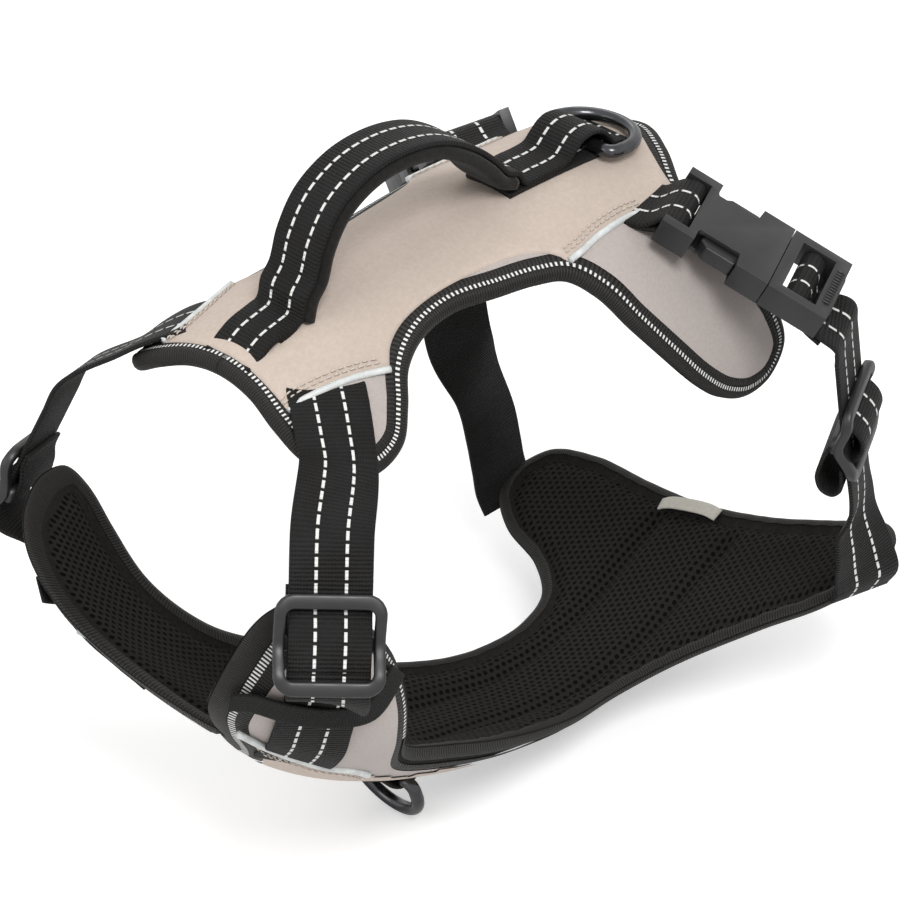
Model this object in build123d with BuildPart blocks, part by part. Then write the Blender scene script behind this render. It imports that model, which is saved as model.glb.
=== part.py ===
from build123d import *
import os
from math import asin, cos, hypot, pi, radians, sin

# No-pull dog harness, medium size, standing upright as it sits on the dog.
# Construction frame: +X to the tail, +Y to the dog's right, +Z up, with the front end of the
# spine seam near the origin.  Everything is moved at the end so that Z = 0 is the lowest point
# and the origin is the middle of the base.  "left" and "right" are the dog's own sides.

# --- webbing and fabric ---------------------------------------------------------------
webbing_width = 25.0           # neck and girth straps
spine_webbing_width = 20.0     # spine strips, handle, and the tunnels of both rings
webbing_thickness = 1.4
air = 0.3                      # running clearance between neighbouring pieces
bridge = 0.8                   # how far a flat strap stands off where it bridges a curved pad
cover_thickness = 1.0          # overlay fabric on the pads
binding_thickness = 0.8        # grosgrain tape lying on a pad's edge

# --- back panel: a saddle over the dog's back ------------------------------------------
back_radius = 62.0             # across the back, to the outer face of the pad
spine_radius = 558.0           # along the back, to the outer face of the pad
spine_top_x = 120.0            # where the spine line is highest
spine_top_z = 14.0
back_pad = 5.0                 # thickness
flap = 30.0                    # straight drop of the sides below the half circle
back_front_x = -40.0           # the saddle blank, before its outline is cut
back_rear_x = 215.0
reach = 400.0                  # cutting solids run past everything

# --- chest and belly panel: a trough under the dog --------------------------------------
chest_pad = 7.5
belly_half_width = 81.0        # at the rear corners, where the girth straps are sewn
trough_reach = belly_half_width + 14.0   # half width of the blank, before its outline is cut
trough_leg = 45.0              # straight rise of the sides above the curve
chest_cover_length = 80.0
chest_cover_width = 78.0

# --- handle ----------------------------------------------------------------------------
handle_pad_thickness = 5.0

# --- small goods -------------------------------------------------------------------------
keeper_width = 9.0
keeper_thickness = 0.8
label_size = (38.0, 9.0, 0.8)   # blank care label: length, width, thickness

# --- rings ------------------------------------------------------------------------------
ring_wire = 4.5                # diameter
ring_inner_width = 26.0
ring_inner_depth = 16.0

# --- sliders -----------------------------------------------------------------------------
slider_length = 30.0
slider_bar = 4.5               # width of each cross bar, along the strap
slider_bar_thickness = 3.0
slider_rail = 3.6              # width of each side rail
slider_travel = 16.0           # free run kept straight above each neck slider

# --- side-release buckle ------------------------------------------------------------------
buckle_width = 33.0
buckle_thickness = 9.0
socket_length = 38.5
plug_frame_length = 21.0
buckle_wall = 1.5
waist_depth = 6.0              # how far each side window cuts into the socket
window_start = 12.0            # side window, along the socket
window_end = 27.0
strap_arm = 9.5                # the two fingers that hold the strap bar
strap_bar_radius = 2.1
latch_width = 3.4


sides = {"left": -1, "right": 1}   # along Y


# ------------------------------------------------------------------------------------------
# Surfaces
# ------------------------------------------------------------------------------------------
def spine_frame(x):
    """Point on the spine line and its tail-ward and upward directions."""
    turn = (x - spine_top_x) / spine_radius
    along = Vector(cos(turn), 0, -sin(turn))
    up = Vector(sin(turn), 0, cos(turn))
    centre = Vector(spine_top_x, 0, spine_top_z - spine_radius)
    return centre + up * spine_radius, along, up


def back_point(x, around, height=0.0):
    """Point over the saddle: `around` is the arc length from the spine, right side positive."""
    top, along, up = spine_frame(x)
    angle = around / back_radius
    radius = back_radius + height
    return top + up * (radius * cos(angle) - back_radius) + Vector(0, radius * sin(angle), 0)


def back_normal(x, around):
    """Outward direction of the saddle."""
    top, along, up = spine_frame(x)
    angle = around / back_radius
    return up * cos(angle) + Vector(0, sin(angle), 0)


# Stations of the trough: x, height of the inner centre line, inner radius, side shift, roll.
# The shift turns the left arm's front edge inwards, and the roll lifts the left rear corner,
# the way the panel hangs from its straps.
trough_stations = [
    (-42, -108, 46, 10, 0.0),
    (-20, -124, 51, 5, 0.0),
    (0, -139, 55, 1, 0.0),
    (30, -158, 52, 0, 0.0),
    (62, -173, 48, 0, 0.0),
    (95, -183, 58, 0, 1.5),
    (130, -188, 80, -3, 3.5),
    (170, -183, 150, -3, 6.5),
    (205, -171, 300, 0, 8.5),
    (245, -153, 420, 0, 9.5),
]


# ------------------------------------------------------------------------------------------
# Blanks and outlines
# ------------------------------------------------------------------------------------------
spine_axis = Axis((spine_top_x, 0, spine_top_z - spine_radius), (0, 1, 0))


def saddle_layer(height, thickness):
    """Layer of the saddle, its underside `height` above the outer face of the pad."""
    top, along, up = spine_frame(back_front_x)
    section = Plane(top - up * back_radius, x_dir=(0, 1, 0), z_dir=along)
    sweep_angle = (back_rear_x - back_front_x) / spine_radius * 180 / pi
    with BuildPart() as layer:
        with BuildSketch(section):
            with BuildLine():
                for radius in (back_radius + height, back_radius + height + thickness):
                    Line((-radius, -flap), (-radius, 0))
                    ThreePointArc((-radius, 0), (0, radius), (radius, 0))
                    Line((radius, 0), (radius, -flap))
                for side in (-1, 1):
                    inner = side * (back_radius + height)
                    Line((inner, -flap), (inner + side * thickness, -flap))
            make_face()
        revolve(axis=spine_axis, revolution_arc=sweep_angle)
    return layer.part


def trough_layer(depth, thickness):
    """Layer of the trough, its inner face `depth` outside the inner face of the pad."""
    with BuildPart() as layer:
        for x, floor, radius, shift, roll in trough_stations:
            section = Plane((x, shift, floor), x_dir=(0, cos(radians(roll)), -sin(radians(roll))),
                            z_dir=(1, 0, 0))
            half = min(radius, trough_reach)
            angle = asin(half / radius)
            top = radius - radius * cos(angle) + trough_leg
            with BuildSketch(section):
                with BuildLine():
                    ends = []
                    for r in (radius + depth, radius + depth + thickness):
                        corner = (r * sin(angle), radius - r * cos(angle))
                        ThreePointArc((-corner[0], corner[1]), (0, radius - r), corner)
                        Line(corner, (corner[0], top))
                        Line((-corner[0], corner[1]), (-corner[0], top))
                        ends.append(corner[0])
                    Line((ends[0], top), (ends[1], top))
                    Line((-ends[0], top), (-ends[1], top))
                make_face()
        loft(ruled=True)
    return layer.part


def back_plan():
    """Outline of the back panel seen from above."""
    with BuildSketch() as plan:
        with BuildLine():
            edge = Spline((-5, 0), (-6, 14), (-9, 28), (-9.5, 39.5), (-2, 49), (10, 52),
                          (22, 50.6), (31, 45), (39, 38.5), (50, 34), (66, 32), (84, 34),
                          (99, 36.5), (110, 40), (117, 47), (124, 56),
                          tangents=((0, 1), (0.6, 1)))
            tail = Spline((170, 41), (173, 29), (181, 15), (187, 0), tangents=((-0.2, -1), (0, -1)))
            Polyline(edge @ 1, (136, 80), (230, 80), (200, 54), (176, 46), tail @ 0)
            Line(tail @ 1, edge @ 0)
        make_face()
        mirror(about=Plane.XZ)
    return plan.sketch


def back_side():
    """Outline of the back panel seen from the side: it shapes the swept-back rear wings."""
    with BuildSketch(Plane.XZ) as side:
        with BuildLine():
            wing = Spline((121, -14), (135, -31.5), (149, -45.5), (163, -54.5), (177, -59),
                          (190, -57.5), (198, -47), (193, -32), (180, -14), (171, -3))
            Polyline(wing @ 1, (176, 0), (215, 5), (215, 60), (-60, 60), (-60, -50), (90, -50),
                     wing @ 0)
        make_face()
    return side.sketch


def back_cover_plan():
    """Outline of the overlay: it stops at the binding and at the piping over the four wings."""
    edges = [
        [(4, 0), (3, 14), (2, 26)],
        [(2, 26), (14, 30), (28, 33.5)],
        [(28, 33.5), (45, 26.5), (66, 22), (84, 24), (99, 27), (112, 35)],
        [(112, 35), (130, 36), (148, 35), (163, 32)],
        [(163, 32), (169, 18), (175, 0)],
    ]
    with BuildSketch() as plan:
        with BuildLine():
            for side in (-1, 1):
                for edge in edges:
                    Spline(*[(x, side * y) for x, y in edge])
        make_face()
    return plan.sketch


def chest_plan():
    """Outline of the chest and belly panel seen from above."""
    half = belly_half_width
    with BuildSketch() as plan:
        with BuildLine():
            belly = Spline((48, 39), (62, 36.5), (80, 33), (112, 27), (135, 24), (155, 24), (170, 29),
                           (180, 42), (186, half - 19), (197, half - 5), (211, half - 1),
                           (223, half - 6), (229, half - 23), (229, 30), (229, 5), (232, -25),
                           (237, 26 - half), (238, 11 - half), (231, 2 - half), (216, -half),
                           (202, 9 - half), (188, 26 - half), (168, -38), (145, -30), (118, -31),
                           (95, -33), (80, -35), (62, -37), (48, -39))
            Polyline(belly @ 1, (42, -45), (20, -90), (-60, -90), (-60, 90), (20, 90), (42, 45),
                     belly @ 0)
        make_face()
    return plan.sketch


# The two chest arms seen from the side, from the chest's front edge over the tip and back down.
# The left arm lies flatter against its strap, so it shows broader from the side.
arm_outlines = {
    "left": [(-4, -150), (-4, -138), (-14, -127), (-23, -116), (-32, -104), (-38.5, -91),
             (-39, -78), (-34, -65), (-25, -56), (-12, -55), (1, -67), (13, -84), (20, -103),
             (25, -121), (31, -136), (48, -148)],
    "right": [(-4, -150), (-4, -138), (-14, -127), (-25, -112), (-33, -96), (-37, -78), (-35, -62),
              (-27, -54), (-17, -56), (-10, -66), (-1, -86), (10, -111), (26, -131), (48, -147)],
}


def chest_sides():
    """Space that the chest and belly panel keeps within, each arm shaped on its own side."""
    with BuildPart() as space:
        for name, side in sides.items():
            with BuildSketch(Plane.XZ):
                with BuildLine():
                    arm = Spline(*arm_outlines[name])
                    Polyline(arm @ 1, (62, -140), (100, -110), (260, -90), (260, -230), (-4, -230),
                             arm @ 0)
                make_face()
            extrude(amount=-side * reach)
    return space.part


# ------------------------------------------------------------------------------------------
# Pads and covers
# ------------------------------------------------------------------------------------------
def cut_to(blank, *outlines, within=None):
    """A blank layer trimmed to its outlines, each seen along its own plane's normal, and to
    the space it keeps within."""
    with BuildPart() as trimmed:
        add(blank)
        for outline in outlines:
            extrude(outline, amount=reach, both=True, mode=Mode.INTERSECT)
        if within:
            add(within, mode=Mode.INTERSECT)
    return trimmed.part


pieces = {}                    # label: solid, in the order they are sewn

pieces["back_panel"] = cut_to(saddle_layer(-back_pad, back_pad), back_plan(), back_side())

pieces["back_cover"] = cut_to(saddle_layer(air / 3, cover_thickness), back_cover_plan())

trough_blank = trough_layer(0, chest_pad)
chest_space = chest_sides()
pieces["chest_panel"] = cut_to(trough_blank, chest_plan(), within=chest_space)

with BuildSketch() as chest_cover_plan:
    with Locations((chest_cover_length / 2, 0)):
        Rectangle(chest_cover_length, chest_cover_width)
pieces["chest_cover"] = cut_to(
    trough_layer(chest_pad + air / 3, cover_thickness), chest_cover_plan.sketch, chest_plan(),
    within=chest_space,
)


# ------------------------------------------------------------------------------------------
# Webbing
# ------------------------------------------------------------------------------------------
def strip(points, widths, width=webbing_width, thickness=webbing_thickness, fixed=None, ruled=False):
    """A flat strap through `points`, its width lying along `widths` at each of them.
    `fixed` gives its direction at the ends of a straight run, by the point's index."""
    fixed = fixed or {}
    with BuildPart() as strap:
        for index, (point, across) in enumerate(zip(points, widths)):
            before = points[max(index - 1, 0)]
            after = points[min(index + 1, len(points) - 1)]
            heading = fixed.get(index, after - before)
            with BuildSketch(Plane(point, x_dir=across, z_dir=heading)):
                Rectangle(width, thickness)
        loft(ruled=ruled)
    return strap.part


def ribbon(path, width=spine_webbing_width, thickness=webbing_thickness):
    """A strap over the spine, drawn from the side as a line of points (x, z)."""
    with BuildPart() as strap:
        with BuildSketch(Plane.XZ):
            with BuildLine():
                Spline(*path)
            trace(line_width=thickness)
        extrude(amount=width / 2, both=True)
    return strap.part


def eye(centre, across, radius):
    """A turn of webbing round a bar of the given radius."""
    inner = radius + air
    with BuildPart() as turn:
        with BuildSketch(Plane(centre, z_dir=across)):
            Circle(inner + webbing_thickness)
            Circle(inner, mode=Mode.SUBTRACT)
        extrude(amount=webbing_width / 2, both=True)
    return turn.part


def joined(*parts):
    with BuildPart() as whole:
        for part in parts:
            add(part)
    return whole.part


def over_spine(x, height):
    """Side-view point (x, z) above the spine line."""
    point = back_point(x, 0, height)
    return (point.X, point.Z)


def lowest_at(solid, x, y):
    """Height of the underside of a solid on the upright line through (x, y)."""
    upright = Edge.make_line((x, y, -reach), (x, y, reach))
    return min(vertex.Z for vertex in solid.intersect(upright).vertices())


def inside_height(x, y):
    """Height of the inner face of the belly panel at (x, y)."""
    upright = Edge.make_line((x, y, -reach), (x, y, -100))
    return max(vertex.Z for vertex in trough_blank.intersect(upright).vertices())


def outermost_at(solid, x, z, side):
    """Furthest point of a solid on the level line through (x, z), on one side."""
    level = Edge.make_line((x, 0, z), (x, side * reach, z))
    return max((vertex.Y for vertex in solid.intersect(level).vertices()), key=abs)


# The spine webbing is sewn to the overlay; the handle and the ring's tunnel are sewn over it.
seam_height = cover_thickness + air + webbing_thickness / 2
top_height = seam_height + webbing_thickness + air
spine_front = -3.0
spine_rear = 168.0
handle_front = 14.0
handle_rear = 136.0
ring_x = 152.0

pieces["spine_webbing_front"] = ribbon([over_spine(x, seam_height) for x in (spine_front, 13, 29)])
pieces["spine_webbing_rear"] = ribbon(
    [over_spine(x, seam_height) for x in (121, (121 + spine_rear) / 2, spine_rear)]
)

handle_arch = [(27.5, 18), (31, 29), (38, 40), (50, 47), (66, 49.5), (83, 47), (97, 40), (108, 31.5),
               (117, 24)]
handle_path = (
    [over_spine(handle_front, top_height), over_spine(21, top_height + 0.5)]
    + handle_arch
    + [over_spine(127, top_height + 1), over_spine(handle_rear, top_height)]
)
pieces["handle_webbing"] = ribbon(handle_path)


def shifted(path, distance):
    """A side-view path moved towards its own right as it runs to the tail, ends left off."""
    moved = []
    for before, (x, z), after in zip(path, path[1:], path[2:]):
        run_x, run_z = after[0] - before[0], after[1] - before[1]
        share = distance / hypot(run_x, run_z)
        moved.append((x + share * run_z, z - share * run_x))
    return moved


pad_drop = webbing_thickness / 2 + air + handle_pad_thickness / 2
pieces["handle_pad"] = ribbon(
    shifted(handle_path[2:-1], pad_drop), width=spine_webbing_width + 2,
    thickness=handle_pad_thickness,
)


# --- rings: a D of round wire, held by its straight side in a tunnel of webbing -------------
def d_ring(bar, outward):
    """D-ring with its straight side centred on `bar` and its bow pointing along `outward`."""
    half = ring_inner_width / 2 + ring_wire / 2
    corner = 3.0
    straight = ring_inner_depth + ring_wire - half
    ring_plane = Plane(bar, x_dir=(0, 1, 0), z_dir=Vector(0, 1, 0).cross(outward))
    with BuildPart() as ring:
        with BuildLine(ring_plane) as outline:
            Line((corner - half, 0), (half - corner, 0))
            CenterArc((half - corner, corner), corner, -90, 90)
            Line((half, corner), (half, straight))
            ThreePointArc((half, straight), (0, straight + half), (-half, straight))
            Line((-half, straight), (-half, corner))
            CenterArc((corner - half, corner), corner, 180, 90)
        with BuildSketch(Plane(bar, z_dir=(0, 1, 0))):
            Circle(ring_wire / 2)
        sweep(path=outline.wire())
    return ring.part


def tunnel(bar_x, bar_z, foot, side, front=13.0, rear=13.0):
    """Side-view path of the webbing over a ring's bar; `side` is +1 above it, -1 below.
    `front` and `rear` are how far it is sewn down on each side of the bar."""
    radius = ring_wire / 2 + bridge + webbing_thickness / 2
    rise = side * 2 * air
    crown = [
        (bar_x - radius * 0.87, bar_z + side * radius * 0.5),
        (bar_x, bar_z + side * radius),
        (bar_x + radius * 0.87, bar_z + side * radius * 0.5),
    ]
    turn = radius + 3.5
    shoulders = [(x, z + rise) for x, z in (foot(bar_x - turn - 2), foot(bar_x + turn))]
    return [foot(bar_x - front), shoulders[0]] + crown + [shoulders[1], foot(bar_x + rear)]


bar_lift = seam_height + webbing_thickness / 2 + air + ring_wire / 2
back_bar = back_point(ring_x, 0, bar_lift)
pieces["back_ring"] = d_ring(back_bar, Vector(1, 0, -0.1))
pieces["back_ring_loop"] = ribbon(
    tunnel(back_bar.X, back_bar.Z, lambda x: over_spine(x, top_height), 1, rear=11)
)

chest_ring_x = 62.0


def under_chest(x, depth):
    """Side-view point (x, z) below the chest overlay."""
    return (x, lowest_at(trough_blank, x, 0) - depth)


pieces["chest_webbing"] = ribbon([under_chest(x, seam_height) for x in (42, 52, 62, 72, 80)])
chest_bar = Vector(chest_ring_x, 0, under_chest(chest_ring_x, bar_lift)[1])
pieces["chest_ring"] = d_ring(chest_bar, Vector(0.35, 0, -1))
pieces["chest_ring_loop"] = ribbon(
    tunnel(chest_bar.X, chest_bar.Z, lambda x: under_chest(x, top_height + bridge), -1)
)


# ------------------------------------------------------------------------------------------
# Sliders
# ------------------------------------------------------------------------------------------
def slider(place):
    """Three-bar slider; `place` lies in the strap, its x across the strap and its y along it.
    The two outer bars pass over the strap and the middle bar passes under it."""
    strap_gap = webbing_thickness / 2 + air
    window = webbing_width + 2 * 2 * air
    height = strap_gap + slider_bar_thickness
    with BuildPart() as frame:
        with BuildSketch(place.offset(-height)):
            for edge in (-1, 1):
                with Locations((edge * (window + slider_rail) / 2, 0)):
                    RectangleRounded(slider_rail, slider_length, 1.2)
        extrude(amount=2 * height)
        with BuildSketch(place.offset(strap_gap)):
            for edge in (-1, 1):
                with Locations((0, edge * (slider_length - slider_bar) / 2)):
                    Rectangle(window + slider_rail, slider_bar)
        extrude(amount=slider_bar_thickness)
        with BuildSketch(place.offset(-height)):
            Rectangle(window + slider_rail, slider_bar)
        extrude(amount=slider_bar_thickness)
    return frame.part


# ------------------------------------------------------------------------------------------
# Side-release buckle
# ------------------------------------------------------------------------------------------
half_width = buckle_width / 2
half_height = buckle_thickness / 2
finger = (buckle_width - webbing_width) / 2 - air
socket_bar_at = 4.2
plug_start = socket_length + air
plug_end = plug_start + plug_frame_length
plug_bar_at = plug_start + 10.0
plug_window = (plug_start + 4.0, plug_end - 5.0)
mouth_half = half_width - buckle_wall
cavity_half_height = half_height - buckle_wall
latch_tip = window_start + 1.5
latch_pivot_y = 9.0


def socket(place):
    """Female half: two waisted plates, a closed mouth, and two fingers with the strap bar."""
    with BuildPart() as body:
        for level in (-half_height, cavity_half_height):
            with BuildSketch(place.offset(level)):
                with BuildLine():
                    Polyline((strap_arm - 1, -half_width), (strap_arm, -half_width),
                             (window_start, waist_depth - half_width),
                             (window_end - 0.6, waist_depth - half_width),
                             (window_end, -half_width), (socket_length, -half_width),
                             (socket_length, 0), (strap_arm - 1, 0), close=True)
                make_face()
                mirror(about=Plane.XZ)
            extrude(amount=buckle_wall)
        with BuildSketch(place.offset(-half_height)):
            for edge in (-1, 1):
                with Locations((strap_arm / 2, edge * (half_width - finger / 2))):
                    Rectangle(strap_arm, finger)
                with Locations(((window_end + socket_length) / 2, edge * (mouth_half + half_width) / 2)):
                    Rectangle(socket_length - window_end, buckle_wall)
            with Locations((strap_arm + 0.5, 0)):
                Rectangle(3.0, buckle_width)
        extrude(amount=buckle_thickness)
        with BuildSketch(Plane(place.from_local_coords(Vector(socket_bar_at, 0, 0)), z_dir=place.y_dir)):
            Circle(strap_bar_radius)
        extrude(amount=half_width - 0.5, both=True)
    return body.part


def plug(place):
    """Male half: the strap frame with its bar, and the middle guide that runs into the socket."""
    start, end = plug_window
    with BuildPart() as body:
        with BuildSketch(place.offset(-half_height)) as outline:
            with Locations(((plug_start + plug_end) / 2, 0)):
                Rectangle(plug_frame_length, buckle_width)
            with Locations(((start + end) / 2, 0)):
                Rectangle(end - start, webbing_width + 2 * air, mode=Mode.SUBTRACT)
        extrude(amount=buckle_thickness)
        with BuildSketch(place.offset(-cavity_half_height + air)):
            with Locations(((window_start + 6 + plug_start + 1) / 2, 0)):
                Rectangle(plug_start + 1 - window_start - 6, 5.0)
        extrude(amount=2 * (cavity_half_height - air))
        with BuildSketch(Plane(place.from_local_coords(Vector(plug_bar_at, 0, 0)), z_dir=place.y_dir)):
            Circle(strap_bar_radius)
        extrude(amount=half_width - 0.5, both=True)
    return body.part


def latch(place, side):
    """One sprung arm of the plug, with the thumb pad that shows in the socket's window."""
    pad = mouth_half - air
    with BuildPart() as arm:
        with BuildSketch(place.offset(-cavity_half_height + air)):
            with BuildLine():
                Polyline((socket_length, side * (latch_pivot_y - latch_width / 2)),
                         (socket_length, side * (latch_pivot_y + latch_width / 2)),
                         (window_end + 2, side * (latch_pivot_y + latch_width / 2 + 0.5)),
                         (window_end - 0.5, side * pad),
                         (latch_tip + 3, side * pad),
                         (latch_tip, side * (pad - 2.5)),
                         (latch_tip + 1, side * (pad - 5.0)),
                         (window_end, side * (latch_pivot_y - latch_width / 2 + 0.5)),
                         close=True)
            make_face()
        extrude(amount=2 * (cavity_half_height - air))
    return arm.part


# ------------------------------------------------------------------------------------------
# Straps, sliders and buckles on the two sides
# ------------------------------------------------------------------------------------------
# --- neck straps: from the front wings, through a slider, and down the chest arms ----------
skin_height = binding_thickness + air + webbing_thickness / 2
neck_heading = 54.0            # degrees from the spine, as the strap crosses the wing
# Each neck slider: its middle, the strap's direction through it, the direction across it.
neck_slider_places = {
    "left": ((-27, -72, -54), (-0.37, -0.33, -0.86), (0.8, -0.6, 0)),
    "right": ((-21, 76.5, -67), (-0.35, 0.27, -0.9), (0.94, 0.34, 0)),
}
# Where each strap lies on its chest arm, seen from the side.
arm_stations = {
    "left": [(-16, -93), (-15, -105), (-11, -118)],
    "right": [(-17, -93), (-11, -107), (-4, -119)],
}


def wing_station(x, around, side, heading, height):
    """A point over the saddle and the direction across a strap that runs at `heading`."""
    point = back_point(x, side * around, height)
    normal = back_normal(x, side * around)
    top, along, up = spine_frame(x)
    down = along.cross(normal) * side * -1
    return point, along * sin(radians(heading)) + down * cos(radians(heading))


for name, side in sides.items():
    wing = [
        wing_station(16 - 16.5 * share, 24 + 22.5 * share, side, neck_heading, seam_height)
        for share in (0, 0.43, 0.86, 1.29)
    ]
    points = [point for point, across in wing]
    widths = [across for point, across in wing]
    centre, run, across = [Vector(*values) for values in neck_slider_places[name]]
    run = run.normalized()
    across = (across - run * across.dot(run)).normalized()
    top = centre - run * (slider_length / 2 + slider_travel + 2)
    bottom = centre + run * (slider_length / 2 + 1)
    arm_points = []
    arm_widths = []
    for x, z in arm_stations[name]:
        y = outermost_at(trough_blank, x, z, side)
        inward = outermost_at(trough_blank, x, z + 6, side)
        slope = hypot(6, y - inward) / 6
        arm_points.append(Vector(x, y + side * (skin_height + bridge) * slope, z))
        y_front = outermost_at(trough_blank, x - 6, z - 3, side)
        y_rear = outermost_at(trough_blank, x + 6, z + 3, side)
        arm_widths.append(Vector(12, y_rear - y_front, 6))
    pieces[f"neck_strap_{name}"] = strip(
        points + [top, bottom],
        widths + [across] * 2,
        fixed={len(points): run, len(points) + 1: run},
        ruled=True,
    )
    pieces[f"arm_webbing_{name}"] = strip(
        [bottom + run * air] + arm_points, [across] + arm_widths, fixed={0: run}, ruled=True
    )
    face = across.cross(run) * side
    pieces[f"neck_slider_{name}"] = slider(Plane(centre, x_dir=across, z_dir=face))

    # An elastic keeper lies over the strap where it is sewn to the chest arm.
    hold = arm_points[1]
    lift = Vector(0, side, 0) * (webbing_thickness + air) * 1.2
    over = arm_widths[1].normalized()
    ride = (arm_points[2] - arm_points[0]).normalized()
    keeper_route = [
        hold + over * reach_out + lift * rise
        for reach_out, rise in ((-20, 0.1), (-14, 1), (0, 1.05), (14, 1), (20, 0.1))
    ]
    pieces[f"keeper_{name}"] = strip(
        keeper_route, [ride] * len(keeper_route), width=keeper_width, thickness=keeper_thickness
    )

# --- girth buckles and straps ----------------------------------------------------------------
# Each buckle: middle of its strap end, direction to the plug, direction it faces.
buckle_places = {
    "left": (back_point(155, -37, 8.3), (0.41, -0.80, -0.44), (0.15, -0.42, 0.895)),
    "right": (back_point(150, 45.5, 6.8), (0.38, 0.68, -0.63), (0.12, 0.62, 0.775)),
}
# Where the webbing to each socket comes out from under the overlay: x and arc from the spine.
anchor_starts = {"left": (141, 24), "right": (141, 22)}
# Straight run that the girth slider rides on: its top and its bottom, from the plug's end.
girth_runs = {
    "left": ((5.0, -2.4, -16.7), (18.7, -0.9, -81.7)),
    "right": ((2.9, 1.5, -11.7), (14.9, 0, -76.7)),
}
# Where each strap is sewn under the belly panel, a little inside its rear corner.
girth_corners = {"left": (208, 6 - belly_half_width), "right": (207, belly_half_width - 6)}
# The strap between the run and that corner: points from the corner, and directions across it.
girth_drops = {
    "left": [((-8, -13, 48), (0.98, 0, 0.1)), ((-5, -12.5, 32), (0.95, -0.2, 0)),
             ((-2, -12, 17), (1, 0, 0.2)), ((-0.5, -10.5, 8), (1, 0, 0.3))],
    "right": [((-17, 11.5, 54), (0.98, 0.1, 0)), ((-10, 12.5, 32), (0.98, 0.1, 0.1)),
              ((-4, 13, 14), (1, 0, 0.25)), ((-1, 11.5, 5), (1, 0, 0.33))],
}


for name, side in sides.items():
    origin, forward, facing = buckle_places[name]
    place = Plane(origin, x_dir=forward, z_dir=facing)
    pieces[f"buckle_socket_{name}"] = socket(place)
    pieces[f"buckle_plug_{name}"] = plug(place)
    pieces[f"latch_front_{name}"] = latch(place, side)
    pieces[f"latch_rear_{name}"] = latch(place, -side)

    # Webbing from under the overlay to the socket's bar.
    turn_radius = strap_bar_radius + air + webbing_thickness / 2
    across = place.y_dir
    socket_bar = place.from_local_coords(Vector(socket_bar_at, 0, 0))
    socket_bar_top = place.from_local_coords(Vector(socket_bar_at, 0, turn_radius))
    lead_in = place.from_local_coords(Vector(socket_bar_at - 6, 0, turn_radius - air))
    start_x, start_around = anchor_starts[name]
    lead_around = back_radius * asin(abs(lead_in.Y) / (back_radius + half_height * 2))
    anchor = []
    anchor_widths = []
    for share, lift in ((0, 0), (0.35, 1.2)):
        x = start_x + share * (lead_in.X - start_x)
        around = side * (start_around + share * (lead_around - start_around))
        anchor.append(back_point(x, around, skin_height + lift))
        width_way = back_normal(x, around).cross(lead_in - anchor[0])
        anchor_widths.append(width_way if width_way.dot(across) > 0 else width_way * -1)
    pieces[f"girth_anchor_{name}"] = joined(
        strip(anchor + [lead_in, socket_bar_top], anchor_widths + [across] * 2, ruled=True),
        eye(socket_bar, across, strap_bar_radius),
    )

    # Webbing from the plug's bar to the straight run; it bends when the plug is drawn out.
    plug_tail = place.from_local_coords(Vector(plug_end, 0, 0))
    top, bottom = [plug_tail + Vector(*offset) for offset in girth_runs[name]]
    run = (bottom - top).normalized()
    way = across - run * across.dot(run)
    plug_bar = place.from_local_coords(Vector(plug_bar_at, 0, 0))
    plug_bar_under = place.from_local_coords(Vector(plug_bar_at, 0, -turn_radius))
    under_end_bar = [
        place.from_local_coords(Vector(along, 0, -half_height - air - webbing_thickness))
        for along in (plug_window[1] - 1, plug_end + 1)
    ]
    pieces[f"girth_lead_{name}"] = joined(
        eye(plug_bar, across, strap_bar_radius),
        strip([plug_bar_under] + under_end_bar + [top - run * 6, top], [across] * 3 + [way] * 2,
              fixed={4: run}),
    )

    # Webbing with the slider, and its end sewn under the corner of the belly panel.
    corner_x, corner_y = girth_corners[name]
    under = []
    under_ways = []
    for y in (corner_y, corner_y - side * 7, corner_y - side * 14):
        front, middle, rear = [
            lowest_at(trough_blank, corner_x + step, y) for step in (-12, 0, 12)
        ]
        under.append(Vector(corner_x, y, min(middle, (front + rear) / 2) - skin_height - bridge))
        under_ways.append(Vector(24, 0, rear - front))
    drop = girth_drops[name]
    route = [top + run * 2 * air, bottom] + [under[0] + Vector(*point) for point, w in drop] + under
    ways = [way] * 2 + [Vector(*w) for point, w in drop] + under_ways
    pieces[f"girth_strap_{name}"] = strip(
        route, [w if w.X > 0 else w * -1 for w in ways], fixed={0: run, 1: run}, ruled=True
    )
    middle = (top + bottom) / 2
    face = way.cross(run)
    if face.Y * side < 0:
        face = face * -1
    pieces[f"girth_slider_{name}"] = slider(Plane(middle, x_dir=way, z_dir=face))

# --- blank care label, sewn into the rear edge of the belly panel ----------------------------
label_x = 222.0
label_lift = 2 * air + label_size[2] / 2
label_route = []
label_ways = []
for y in (-6, 12, 31):
    front, middle, rear = [inside_height(label_x + step, y) for step in (-4, 0, 4)]
    label_route.append(Vector(label_x, y, middle + label_lift))
    label_ways.append(Vector(8, 0, rear - front))
pieces["care_label"] = strip(
    label_route, label_ways, width=label_size[1], thickness=label_size[2]
)

# ------------------------------------------------------------------------------------------
# Write every piece with the middle of the base at the origin
# ------------------------------------------------------------------------------------------
box = Compound(children=[piece.moved(Location()) for piece in pieces.values()]).bounding_box()
to_base = Location((-(box.min.X + box.max.X) / 2, -(box.min.Y + box.max.Y) / 2, -box.min.Z))

os.makedirs("parts", exist_ok=True)
for label, piece in pieces.items():
    placed = piece.moved(to_base)
    placed.label = label
    export_step(placed, f"parts/{label}.step")
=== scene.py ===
import math
import random

import bpy
import bmesh
import numpy as np
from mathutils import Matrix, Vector
from mathutils.geometry import delaunay_2d_cdt


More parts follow.
